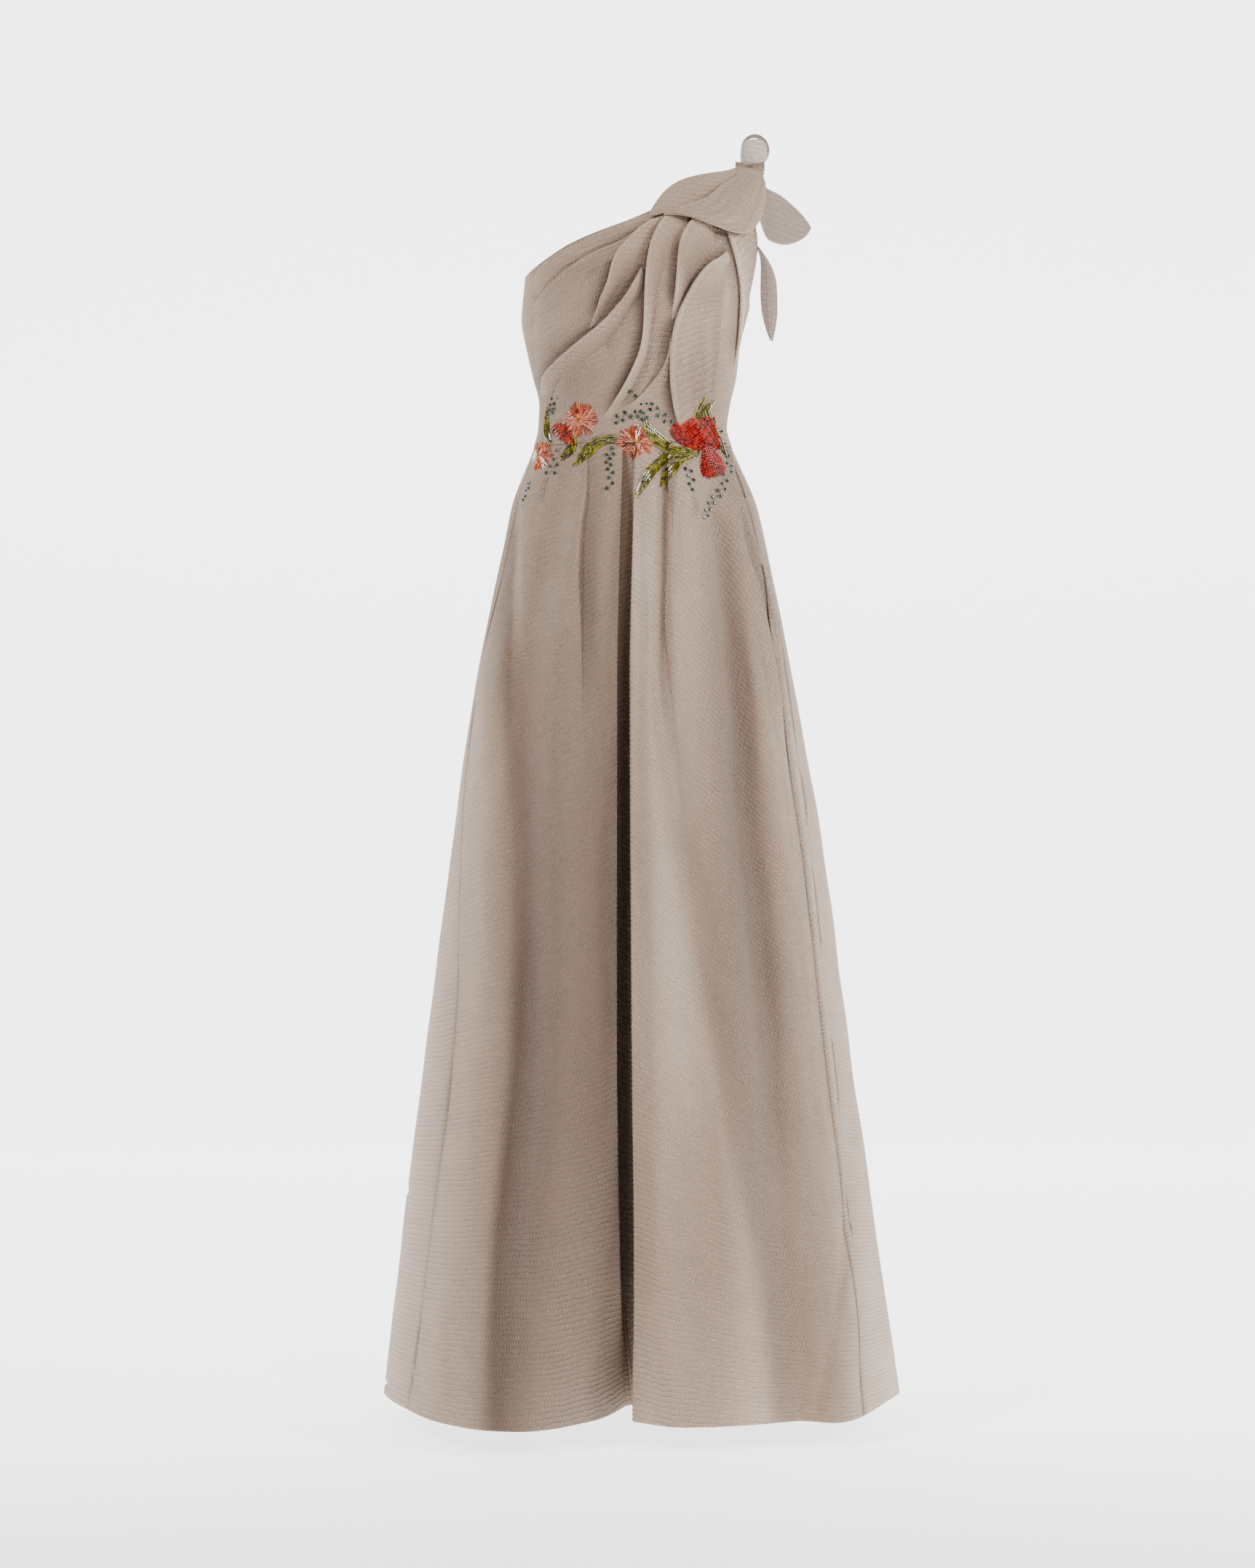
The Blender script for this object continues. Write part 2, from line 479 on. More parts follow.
def natural_curve(values, at):
    """Natural cubic curve through evenly placed values; at has one row of places a column."""
    values = np.asarray(values, dtype=float)
    count = len(values)
    system = np.eye(count)
    right_side = np.zeros(values.shape)
    for i in range(1, count - 1):
        system[i, i - 1:i + 2] = (1.0, 4.0, 1.0)
        right_side[i] = 6.0 * (values[i - 1] - 2.0 * values[i] + values[i + 1])
    bend = np.linalg.solve(system, right_side.reshape(count, -1)).reshape(values.shape)
    place = np.clip(np.floor(at).astype(int), 0, count - 2)
    t = (at - place)[..., None]
    lane = np.arange(values.shape[1])[None, :]
    return ((1 - t) * values[place, lane] + t * values[place + 1, lane]
            + ((1 - t)**3 - (1 - t)) * bend[place, lane] / 6.0
            + (t**3 - t) * bend[place + 1, lane] / 6.0)


def ring_sizes(rows, heights):
    """Half width left and right, depth front and back at each height."""
    knots = column(rows, 0)
    return [smooth(knots, column(rows, i), heights) for i in (1, 2, 3, 4)]


def ring_point(sizes, angle_deg, forward):
    """Points of a ring: forward moves them to the viewer in front and outward behind."""
    left, right, front, back = sizes
    angle = np.radians(angle_deg)
    across = np.where(np.asarray(angle_deg) > 0, right, left) * np.sin(angle)
    in_front = np.abs(angle_deg) <= 90.0
    depth = np.where(in_front, -front * np.cos(angle) - forward,
                     -back * np.cos(angle) - forward * np.cos(angle))
    across = np.where(in_front, across, across + forward * np.sin(angle))
    return np.stack([across, depth], axis=-1)


def hem_fold(across_mm, depth_mm):
    """Angle and forward move that put a fold at a place on the hem."""
    left, right, front, _ = ring_sizes(SKIRT_RINGS, 0.0)
    share = across_mm * MM / (right if across_mm > 0 else left)
    angle = math.degrees(math.asin(max(-1.0, min(1.0, float(share)))))
    return angle, float(-depth_mm * MM - front * math.cos(math.radians(angle)))


def fold_line(row, heights):
    """Points of one fold line of the skirt at the heights."""
    if len(row) == 8:
        hem_angle, hem_forward = hem_fold(row[6], row[7])
        low_angle = row[2] + LOW_SHARE * (hem_angle - row[2])
        low_forward = row[5] * MM + LOW_SHARE * (hem_forward - row[5] * MM)
        angles = (row[0], row[0], row[1], row[2], low_angle, hem_angle)
        moves = (0.0, row[3] * MM, row[4] * MM, row[5] * MM, low_forward, hem_forward)
    else:
        low = row[3] + 0.6 * (row[4] - row[3])
        angles = (row[0],) * 6
        moves = (0.0, row[1] * MM, row[2] * MM, row[3] * MM, low * MM, row[4] * MM)
    sizes = ring_sizes(SKIRT_RINGS, heights)
    return ring_point(sizes, smooth(FOLD_HEIGHTS, angles, heights),
                      smooth(FOLD_HEIGHTS, moves, heights))


def pleat_lines(heights):
    """The four lines of the centre-front pleat at the heights."""
    knots = column(PLEAT, 0)
    flat = [smooth(knots, column(PLEAT, i), heights) * MM for i in range(1, 9)]
    return [np.stack([flat[i], flat[i + 1]], axis=-1) for i in (0, 2, 4, 6)]


def fold_sum(across, height, folds):
    """Sum of the folds at places across the front, in metres or as a share."""
    across = across / MM
    height = height / MM
    total = np.zeros(np.shape(across))
    for way, section in folds.values():
        centre = smooth(column(way, 0), column(way, 1), height)
        strength = np.interp(-height, [-row[0] for row in way], column(way, 2))
        rise = smooth(column(section, 0), column(section, 1), across - centre)
        total += strength * rise
    return total


def way_place(across, height, way):
    """Signed distance (m) from a way and the share along it; plus is left of its direction."""
    nearest = np.full(np.shape(across), 1e9)
    share = np.zeros(np.shape(across))
    sign = np.ones(np.shape(across))
    for i in range(len(way) - 1):
        ax, az = way[i][0] * MM, way[i][1] * MM
        bx, bz = way[i + 1][0] * MM - ax, way[i + 1][1] * MM - az
        t = np.clip(((across - ax) * bx + (height - az) * bz) / (bx * bx + bz * bz), 0, 1)
        off_x = across - ax - t * bx
        off_z = height - az - t * bz
        distance = np.hypot(off_x, off_z)
        closer = distance < nearest
        nearest = np.where(closer, distance, nearest)
        share = np.where(closer, (i + t) / (len(way) - 1), share)
        sign = np.where(closer, np.sign(bx * off_z - bz * off_x + 1e-12), sign)
    return nearest * sign, share


def soft_relief(across, height, creases):
    """Sum of soft creases given as way, half width and rise (mm)."""
    total = np.zeros(np.shape(across))
    for way, width, rise in creases:
        distance, share = way_place(across, height, way)
        fade = np.clip(np.minimum(4.0 * share, 4.0 * (1.0 - share)), 0.0, 1.0)
        fade = fade * fade * (3.0 - 2.0 * fade)
        total += fade * rise * MM * np.exp(-(distance / (width * MM))**2)
    return total


def ripple(u, v, seed, size, strength):
    """Even, low waviness made of a few slanted waves."""
    draw = np.random.default_rng(seed)
    total = np.zeros(np.shape(u))
    for _ in range(7):
        turn = draw.uniform(0.0, 2.0 * math.pi)
        stretch = draw.uniform(0.7, 1.6)
        wave_u = draw.uniform(-1.0, 1.0) * 2.0 * math.pi / size * stretch
        wave_v = draw.uniform(-0.35, 0.35) * 2.0 * math.pi / size * stretch
        total += np.sin(u * wave_u + v * wave_v + turn)
    return total * strength / 7.0


# Objects.

# How steeply the rib rows rise to the centre front: height (m), then the slope left and right.
WEAVE_SLANT = ((0.0, 0.05, 0.10), (0.2, 0.18, 0.32), (0.6, 0.42, 0.72), (0.9, 0.44, 0.76),
               (1.2, 0.40, 0.60))
# Reach of that slope: distance from the centre front (m), then the rise left and right (m) at slope 1.
WEAVE_REACH = ((0.00, 0.000, 0.000), (0.05, 0.058, 0.043), (0.10, 0.100, 0.092),
               (0.20, 0.165, 0.205), (0.30, 0.215, 0.290), (0.50, 0.270, 0.370),
               (1.40, 0.350, 0.460))


def weave_place(along, height):
    """Place on the cloth in metres: along the rib rows and up across them."""
    rises = []
    for side in (1, 2):
        slant = smooth(column(WEAVE_SLANT, 0), column(WEAVE_SLANT, side), height)
        rises.append(slant * smooth(column(WEAVE_REACH, 0), column(WEAVE_REACH, side),
                                    np.abs(along)))
    return np.stack([along, height + np.where(along < 0.0, rises[0], rises[1])], axis=-1)


def cloth_object(name, grid, place, tone=None, thick=CLOTH_THICK, flip=False):
    """A cloth sheet from rows of points, with its weave places, tone and thickness."""
    grid = np.asarray(grid, dtype=float)
    rows, columns = grid.shape[:2]
    points = grid.reshape(-1, 3) - HELD_AT
    index = np.arange(rows * columns).reshape(rows, columns)
    corners = [index[:-1, :-1], index[1:, :-1], index[1:, 1:], index[:-1, 1:]]
    if flip:
        corners = corners[::-1]
    faces = np.stack(corners, axis=-1).reshape(-1, 4)
    mesh = bpy.data.meshes.new(name)
    mesh.vertices.add(len(points))
    mesh.vertices.foreach_set("co", points.ravel().astype(np.float32))
    mesh.loops.add(faces.size)
    mesh.loops.foreach_set("vertex_index", faces.ravel().astype(np.int32))
    mesh.polygons.add(len(faces))
    mesh.polygons.foreach_set("loop_start", np.arange(0, faces.size, 4, dtype=np.int32))
    mesh.update(calc_edges=True)
    layer = mesh.uv_layers.new(name="weave")
    flat_place = np.asarray(place, dtype=np.float32).reshape(-1, 2)
    layer.data.foreach_set("uv", flat_place[faces.ravel()].ravel())
    shade = mesh.attributes.new("tone", "FLOAT", "POINT")
    level = np.zeros(len(points), np.float32) if tone is None else np.asarray(tone, np.float32)
    shade.data.foreach_set("value", level.ravel())
    mesh.shade_smooth()
    made = bpy.data.objects.new(name, mesh)
    bpy.context.scene.collection.objects.link(made)
    if thick:
        wall = made.modifiers.new("wall", "SOLIDIFY")
        wall.thickness = thick
        wall.offset = -1.0
        wall.use_even_offset = False
    return made


def points_in_space(plan, heights):
    """Rows of points in space from plan places (column, row) and the heights."""
    columns, rows = plan.shape[:2]
    tall = np.broadcast_to(heights[None, :], (columns, rows))
    return np.concatenate([plan, tall[..., None]], axis=-1).transpose(1, 0, 2)


class Run:
    """One half of the skirt's outline, from its fold lines."""

    def __init__(self, lines, heights, front_from, front_to):
        self.lines = np.asarray(lines)
        self.heights = heights
        self.front = (front_from, front_to)

    def points(self, at):
        return natural_curve(self.lines, at)

    def frame(self, at):
        """Direction along the run, outward direction and speed at the places."""
        step = 0.01
        top = len(self.lines) - 1
        ahead = self.points(np.minimum(at + step, top)) - self.points(np.maximum(at - step, 0.0))
        span = np.minimum(at + step, top) - np.maximum(at - step, 0.0)
        speed = np.linalg.norm(ahead, axis=-1)
        along = ahead / speed[..., None]
        out = np.stack([along[..., 1], -along[..., 0]], axis=-1)
        return along, out, speed / span

    def place_of(self, across):
        """Place along the run of a line across the front at every height."""
        first, last = self.front
        fine = np.linspace(first, last, 40 * (last - first) + 1)
        grid = np.repeat(fine[:, None], len(self.heights), axis=1)
        found = self.points(grid)[..., 0]
        return np.array([np.interp(across[i], found[:, i], fine) for i in range(len(across))])


def skirt_columns(run, first, last, pleats):
    """Places, lateral moves and lifts of the columns of a panel, with its knife pleats."""
    heights = run.heights
    count = len(heights)
    section = np.array(PLEAT_SECTION)
    stops = [(np.full(count, float(first)), None)]
    for side, way, lifts in pleats:
        share = np.clip((way[0][1] * MM - heights) / ((way[0][1] - way[-1][1]) * MM), 0.0, 1.0)
        across = smooth([-p[1] * MM for p in way], [p[0] * MM for p in way], -heights)
        centre = run.place_of(across)
        lift = smooth(column(lifts, 0), column(lifts, 1), share) * MM
        stops.append((centre, (side, lift)))
    stops.append((np.full(count, float(last)), None))
    places = []
    moves = []
    rises = []
    for number, (centre, pleat) in enumerate(stops):
        if pleat is not None:
            side, lift = pleat
            _, _, speed = run.frame(centre[None, :])
            narrow = smooth((0.0, 1.0, 1.1, 1.165), (1.0, 1.0, 0.75, 0.45), heights)
            fold = np.clip(lift / (3.0 * MM), 0.0, 1.0)
            rows = section if side > 0 else section[::-1]
            rows = rows[::-1] if side > 0 else rows[::-1]
            order = section[::-1] if side > 0 else section
            for flat, folded, level in order:
                flat_move = side * flat * MM * narrow
                fold_move = side * (folded - flat) * MM * fold * narrow
                places.append(centre + flat_move / speed[0])
                moves.append(fold_move)
                rises.append(level * lift)
        if number + 1 < len(stops):
            start = places[-1] if pleat is not None else centre
            following, next_pleat = stops[number + 1]
            end = following
            if next_pleat is not None:
                _, _, speed = run.frame(following[None, :])
                narrow = smooth((0.0, 1.0, 1.1, 1.165), (1.0, 1.0, 0.75, 0.45), heights)
                outer = section[-1][0] if next_pleat[0] > 0 else -section[0][0]
                end = following + outer * MM * narrow / speed[0]
            gap = float(np.median(end - start))
            steps = max(2, int(round(gap * COLUMNS_PER_FOLD)))
            begin = 0 if pleat is None else 1
            for k in range(begin, steps + (1 if next_pleat is None else 0)):
                places.append(start + (end - start) * k / steps)
                moves.append(np.zeros(count))
                rises.append(np.zeros(count))
    return np.array(places), np.array(moves), np.array(rises)


def scallop(count):
    """Small in and out steps of a fold edge, one a rib."""
    return np.where(np.arange(count) % 2 == 0, 1.0, -1.0)


def skirt_plan(run, first, last, pleats, extra_seed):
    """Plan points of a panel with all its relief."""
    heights = run.heights
    at, move, rise = skirt_columns(run, first, last, pleats)
    base = run.points(at)
    along, out, _ = run.frame(at)
    tall = np.broadcast_to(heights[None, :], at.shape)
    side_fade = np.clip(-base[..., 1] / 0.06, 0.0, 1.0)
    relief = fold_sum(base[..., 0], tall, SKIRT_FOLDS) * MM * side_fade
    relief += ripple(at * 0.05, tall, extra_seed, 0.060, 0.0014)
    relief *= smooth((0.0, 0.03, 1.10, 1.165), (0.5, 1.0, 1.0, 0.0), tall)
    edge = np.where(np.abs(move) > 0.0006, 1.0, 0.0) * scallop(len(heights))[None, :]
    move = move + edge * np.sign(move) * 0.00045
    plan = base + along * move[..., None] + out * (relief + rise)[..., None]
    return plan


def arc_along(plan):
    """Distance along the columns of a plan."""
    steps = np.linalg.norm(np.diff(plan, axis=0), axis=-1)
    return np.concatenate([np.zeros((1, plan.shape[1])), np.cumsum(steps, axis=0)])


def skirt_tone(plan, heights):
    """How dark or pale the cloth is where inner layers show through or end."""
    tall = np.broadcast_to(heights[None, :], plan.shape[:2])
    total = fold_sum(plan[..., 0], tall, SKIRT_TONES)
    behind = np.where(np.abs(plan[..., 0]) > 0.1, -0.45, 0.05)
    share = np.clip((plan[..., 1] + 0.03) / 0.06, 0.0, 1.0)
    return total * (1.0 - share) + behind * share


def make_skirt():
    """The seven panels of the skirt."""
    sheets = {}
    for heights, wanted in ((np.linspace(WAIST_HEIGHT, 0.0, FRONT_ROWS), "front"),
                            (np.linspace(WAIST_HEIGHT, 0.0, BACK_ROWS), "back")):
        left_edge, left_deep, right_deep, right_edge = pleat_lines(heights)
        left_lines = [fold_line(row, heights) for row in FOLDS_BACK_LEFT + FOLDS_LEFT]
        right_lines = [fold_line(row, heights) for row in FOLDS_RIGHT + FOLDS_BACK_RIGHT]
        left = Run(left_lines + [left_edge], heights, 7, 17)
        right = Run([right_edge] + right_lines, heights, 0, 11)
        zigzag = scallop(len(heights)) * 0.0004
        if wanted == "front":
            plan = skirt_plan(left, 9, 17, KNIFE_PLEATS["left"], 11)
            returns = [left_edge + (left_deep - left_edge) * s for s in (0.04, 0.12, 0.28, 0.5)]
            plan[-1, :, 0] -= zigzag
            returns[0][:, 0] -= zigzag
            start = -float(np.median(arc_along(plan)[-1]))
            full = np.concatenate([plan, np.array(returns)])
            sheets["skirt_front_left"] = (full, heights, arc_along(full) - arc_along(plan)[-1])
            plan = skirt_plan(right, 0, 9, KNIFE_PLEATS["right"], 12)
            returns = [right_edge + (right_deep - right_edge) * s for s in (0.5, 0.28, 0.12, 0.04)]
            plan[0, :, 0] += zigzag
            returns[-1][:, 0] += zigzag
            full = np.concatenate([np.array(returns), plan])
            sheets["skirt_front_right"] = (full, heights, arc_along(full) - arc_along(full)[3])
            shares = (0.5, 0.75, 0.93)
            under = [left_edge + (left_deep - left_edge) * s for s in shares]
            under += [left_deep + (right_deep - left_deep) * s for s in np.linspace(0, 1, 11)]
            under += [right_edge + (right_deep - right_edge) * s for s in shares[::-1]]
            full = np.array(under)
            sheets["skirt_pleat_underlay"] = (full, heights, arc_along(full) - 0.03)
        else:
            front_left = skirt_plan(left, 9, 17, KNIFE_PLEATS["left"], 11)
            front_right = skirt_plan(right, 0, 9, KNIFE_PLEATS["right"], 12)
            left_arc = arc_along(front_left)[-1]
            right_arc = arc_along(front_right)[-1]
            plan = skirt_plan(left, 5, 9, (), 13)
            side_left = arc_along(plan)[-1]
            sheets["skirt_side_left"] = (plan, heights, arc_along(plan) - side_left - left_arc)
            plan = skirt_plan(left, 0, 5, (), 14)
            place = arc_along(plan) - arc_along(plan)[-1] - side_left - left_arc
            sheets["skirt_back_left"] = (plan, heights, place)
            plan = skirt_plan(right, 9, 13, (), 15)
            side_right = arc_along(plan)[-1]
            sheets["skirt_side_right"] = (plan, heights, arc_along(plan) + right_arc)
            plan = skirt_plan(right, 13, 18, (), 16)
            sheets["skirt_back_right"] = (plan, heights, arc_along(plan) + right_arc + side_right)
    made = {}
    for node, (plan, heights, along) in sheets.items():
        tall = np.broadcast_to(heights[None, :], along.shape)
        place = weave_place(along, tall).transpose(1, 0, 2)
        tone = skirt_tone(plan, heights).T
        made[node] = cloth_object(node + "_cloth", points_in_space(plan, heights), place, tone)
    return made


# Bodice.

def figure_point(angle_deg, height):
    """Points of the figure surface by angle and height."""
    plan = ring_point(ring_sizes(BODICE_RINGS, height), angle_deg, 0.0)
    return np.concatenate([plan, np.asarray(height)[..., None]], axis=-1)


def figure_normal(angle_deg, height):
    """Outward direction of the figure surface."""
    side = figure_point(angle_deg + 0.5, height) - figure_point(angle_deg - 0.5, height)
    up = figure_point(angle_deg, height + 0.002) - figure_point(angle_deg, height - 0.002)
    normal = np.cross(side, up)
    return normal / np.linalg.norm(normal, axis=-1)[..., None]


def figure_angle(across, height, behind=False):
    """The angle at which the figure surface has a place across at a height."""
    left, right, _, _ = ring_sizes(BODICE_RINGS, height)
    share = across / np.where(across > 0, right, left)
    angle = np.degrees(np.arcsin(np.clip(share, -0.9995, 0.9995)))
    if behind:
        return np.where(across > 0, 180.0 - angle, -180.0 - angle)
    return angle


def bodice_relief(across, height):
    """Relief of the bodice front."""
    creases = [(way, width, rise) for width, rise, way in BODICE_CREASES]
    return soft_relief(across, height, creases)


def on_bodice(angle_deg, height, lift):
    """Points lifted off the bodice, with the creases of the front."""
    point = figure_point(angle_deg, height)
    front = np.abs(angle_deg) < 90.0
    lift = lift + np.where(front, bodice_relief(point[..., 0], height), 0.0)
    lift = lift + ripple(np.radians(angle_deg) * 0.12, height, 21, 0.045, 0.0005)
    return point + lift[..., None] * figure_normal(angle_deg, height)


def bodice_place(points):
    """Weave places of the bodice: rows rise to the right on the left side and fall beyond."""
    across = points[..., 0]
    height = points[..., 2]
    along = 0.125 * np.arctan2(across, 0.02 - points[..., 1])
    slant = smooth((-0.14, 0.0, 0.06, 0.15), (-0.38, -0.30, -0.05, 0.10), across)
    return np.stack([along, height + slant * across], axis=-1)


def bodice_shade(across, height):
    """Broad shade and light of the bodice front."""
    total = np.zeros(np.shape(across))
    for x, z, wide, tall, share in BODICE_TONES:
        off = ((across / MM - x) / wide)**2 + ((height / MM - z) / tall)**2
        total += share * np.exp(-off)
    return total


def fold_shadow(across, height):
    """Soft dark line on the bodice beside the free edge of each fold."""
    total = np.zeros(np.shape(across))
    for fold in list(DRAPE_FOLDS.values()) + list(LOW_FOLDS.values()):
        distance, share = way_place(across, height, fold["edge"])
        fade = np.clip(8.0 * (1.0 - share), 0.0, 1.0)
        depth = min(1.0, fold["lift"] / 8.0)
        total = np.maximum(total, depth * fade * 0.90 * np.exp(-(distance / (10.0 * MM))**2))
    return total


def make_bodice_panel(node, top, first_angle, last_angle, behind, rows, columns):
    """A bodice panel from the waist seam to its top edge."""
    share = np.linspace(0.0, 1.0, columns)[None, :]
    row_share = np.linspace(0.0, 1.0, rows)[:, None]
    top_across = np.interp(share, column(top, 0), column(top, 1)) * MM
    top_height = np.interp(share, column(top, 0), column(top, 2)) * MM
    low_angle = first_angle + share * (last_angle - first_angle)
    high_angle = figure_angle(top_across, top_height, behind)
    high_angle[:, 0] = low_angle[:, 0]
    high_angle[:, -1] = low_angle[:, -1]
    low_height = WAIST_HEIGHT
    height = low_height + row_share * (top_height - low_height)
    angle = low_angle + row_share**1.3 * (high_angle - low_angle)
    trim = math.degrees(SEAM / 0.125) * (1 if last_angle > first_angle else -1)
    angle[:, 0] += trim
    angle[:, -1] -= trim
    grid = on_bodice(angle, height, np.zeros(height.shape))
    shade = bodice_shade(grid[..., 0], grid[..., 2]) + fold_shadow(grid[..., 0], grid[..., 2])
    tone = np.where(grid[..., 1] < 0.0, shade, -0.2)
    return cloth_object(node + "_cloth", grid, bodice_place(grid), tone)


def along_way(way, share):
    """Places on a way of points, by share of its points, on a rounded curve."""
    points = np.asarray(way, dtype=float)[:, None, :]
    at = (np.asarray(share) * (len(way) - 1))[:, None]
    return natural_curve(points, at)[:, 0, :]


# Section of a draped fold from its tucked-under edge to its root: millimetres inward from the free
# edge, share of the way to the root, and height share.
FOLD_SECTION = (
    (4.2, 0.0, 0.10), (2.6, 0.0, 0.16), (1.2, 0.0, 0.28), (0.3, 0.0, 0.46), (0.0, 0.0, 0.66),
    (0.3, 0.0, 0.84), (1.1, 0.0, 0.96), (2.4, 0.0, 1.00),
)


def make_fold(name, fold, rows=70, columns=16, low=False):
    """A draped fold: it rises from its root and turns under along its free edge."""
    share = np.linspace(0.0, 1.0, rows)
    edge = along_way(fold["edge"], share) * MM
    root = along_way(fold["root"], share) * MM
    reach = np.linalg.norm(root - edge, axis=-1)
    way = (root - edge) / reach[:, None]
    swell = np.clip(np.minimum(7.0 * share, 6.0 * (1.0 - share)), 0.0, 1.0)
    swell = swell * swell * (3.0 - 2.0 * swell)
    base = np.zeros(rows) if low else 0.45 * np.clip(1.0 - 3.0 * share, 0.0, 1.0)
    lift = fold["lift"] * MM * (base + (1.0 - base) * swell)
    lines = []
    lifts = []
    for inward, _, level in FOLD_SECTION:
        lines.append(edge + way * np.minimum(inward * MM, 0.3 * reach)[:, None])
        lifts.append(0.0004 + lift * level)
    begin = np.minimum(2.4 * MM, 0.3 * reach)
    for k in range(1, columns):
        t = k / (columns - 1)
        lines.append(edge + way * (begin + (reach - begin) * t)[:, None])
        level = (1.0 - t)**1.6 * (1.0 + 0.9 * t)
        lifts.append(0.0003 + lift * level)
    across = np.array([line[:, 0] for line in lines]).T
    height = np.array([line[:, 1] for line in lines]).T
    raised = np.array(lifts).T
    angle = figure_angle(across, height)
    grid = on_bodice(angle, height, raised)
    inward = np.linspace(0.0, 1.0, grid.shape[1])[None, :]
    root_shade = 0.0 if low else 0.50
    dark = root_shade * np.clip((inward - 0.50) / 0.50, 0.0, 1.0) * swell[:, None]
    dark = dark + bodice_shade(grid[..., 0], grid[..., 2])
    dark[:, :3] += 0.35
    dark[:, 4:8] -= (0.10 if low else 0.32) * swell[:, None]
    if low:
        place = bodice_place(grid)
    else:
        down = np.cumsum(np.hypot(*np.gradient(edge, axis=0).T))[:, None] + np.zeros(across.shape)
        beside = inward * reach[:, None]
        place = np.stack([0.8 * beside - 0.6 * down, 0.8 * down + 0.6 * beside], axis=-1)
    return cloth_object(name + "_cloth", grid, place, dark, PETAL_THICK, flip=True)


def make_collar():
    """The collar flap, which lies in front of the bodice."""
    share = np.linspace(0.0, 1.0, 60)
    rows = along_way(COLLAR_ROWS, share)
    t = np.linspace(0.0, 1.0, 24)[None, :]
    across = (rows[:, 0:1] + t * (rows[:, 2:3] - rows[:, 0:1])) * MM
    height = (rows[:, 1:2] + t * (rows[:, 3:4] - rows[:, 1:2])) * MM
    lift = (rows[:, 4:5] + t * (rows[:, 5:6] - rows[:, 4:5])) * MM
    lift = lift + 0.0015 * np.sin(math.pi * t) * np.sin(math.pi * share[:, None])
    lift = lift + 0.0012 * np.sin(9.0 * share[:, None] + 3.0 * t)
    grid = on_bodice(figure_angle(across, height), height, lift)
    return cloth_object("collar_flap_cloth", grid, bodice_place(grid), None, PETAL_THICK)


def make_petal(node, table, waves, rows=60, columns=26):
    """A petal that hangs free, given by its two sides in space and its bulge to the viewer."""
    share = np.linspace(0.0, 1.0, rows)
    line = along_way(table, share)
    t = np.linspace(0.0, 1.0, columns)[None, :]
    x = (line[:, 0:1] + t * (line[:, 3:4] - line[:, 0:1])) * MM
    z = (line[:, 1:2] + t * (line[:, 4:5] - line[:, 1:2])) * MM
    y = (line[:, 2:3] + t * (line[:, 5:6] - line[:, 2:3])) * MM
    bow = np.sin(math.pi * t)
    y = y - line[:, 6:7] * MM * bow
    for count, turn, size in waves:
        y = y + size * MM * np.sin(count * math.pi * t + turn + 2.4 * share[:, None]) \
            * np.sin(math.pi * share[:, None])**0.5
    grid = np.stack([x, y, z], axis=-1)
    rim = np.exp(-np.minimum(t, 1.0 - t) / 0.035) + np.zeros(x.shape)
    veins = np.sin(6.0 * math.pi * t + 1.6 * np.sin(5.0 * share[:, None]))**6
    tone = 0.20 * veins - 0.45 * rim
    place = np.stack([x - 0.35 * z, z + 0.35 * x], axis=-1)
    return cloth_object(node + "_cloth", grid, place, tone, PETAL_THICK)


def make_strap():
    """The band over the crest of the shoulder, from the front bodice to the back bodice."""
    t = np.linspace(0.0, 1.0, 40)[:, None]
    across = np.linspace(0.127, 0.1625, 22)[None, :] + 0.0 * t
    level = np.full(across.shape, 1.5063)
    front = on_bodice(figure_angle(across, level), level, np.zeros(across.shape))
    back = on_bodice(figure_angle(across, level, True), level, np.zeros(across.shape))
    y = front[..., 1] + t * (back[..., 1] - front[..., 1])
    z = 1.5064 + 0.0135 * np.sin(math.pi * t)**0.85 + 0.0 * across
    z = z + 0.0006 * np.sin(across * 900.0)
    grid = np.stack([across, y, z], axis=-1)
    place = np.stack([across, y], axis=-1)
    return cloth_object("shoulder_strap_cloth", grid, place, None, CLOTH_THICK, flip=True)


def make_loop():
    """The loop of the shoulder knot: a band bent into an arch over the strap."""
    turn = np.radians(np.linspace(-47.0, 227.0, 64))[:, None]
    c = np.linspace(-1.0, 1.0, 20)[None, :]
    round_off = 1.0 - 0.10 * c**2 + 0.035 * np.sin(5.0 * c + 1.5 * turn)
    across = 0.1510 + 0.0175 * round_off * np.cos(turn)
    height = 1.5342 + 0.0190 * round_off * np.sin(turn)
    y = 0.013 * c + 0.0 * turn
    grid = np.stack([across, y, height], axis=-1)
    place = np.stack([turn * 0.018 + 0.0 * c, y], axis=-1)
    return cloth_object("shoulder_loop_cloth", grid, place, None, PETAL_THICK, flip=True)


def make_wrap():
    """The pale wrap in front of the loop, a small puffed sheet."""
    up = np.linspace(0.0, 1.0, 40)[:, None]
    t = np.linspace(0.0, 1.0, 40)[None, :]
    round_off = 0.80 + 0.20 * np.sqrt(np.clip(1.0 - (2.0 * up - 1.0)**4, 0.0, 1.0))
    across = (149.0 + (34.5 - 5.0 * up) * (t - 0.5) * round_off) * MM
    sag = 3.0 * (2.0 * t - 1.0)**4 * (2.0 * up - 1.0)
    height = (1511.5 + 4.0 * t + (33.0 - 3.5 * t) * up - sag) * MM
    puff = 0.007 * np.sin(math.pi * np.minimum(1.0, 0.12 + 0.80 * up)) * np.sin(math.pi * t)
    crumple = 0.0016 * np.sin(7.0 * t + 5.0 * up) + 0.0012 * np.sin(13.0 * t - 9.0 * up)
    crumple = crumple + 0.0007 * np.sin(29.0 * t + 17.0 * up)
    y = -0.0222 + 0.0075 * up - puff + crumple * np.sin(math.pi * t)
    grid = np.stack([across, y, height], axis=-1)
    return cloth_object("shoulder_wrap_cloth", grid, bodice_place(grid), None, PETAL_THICK)


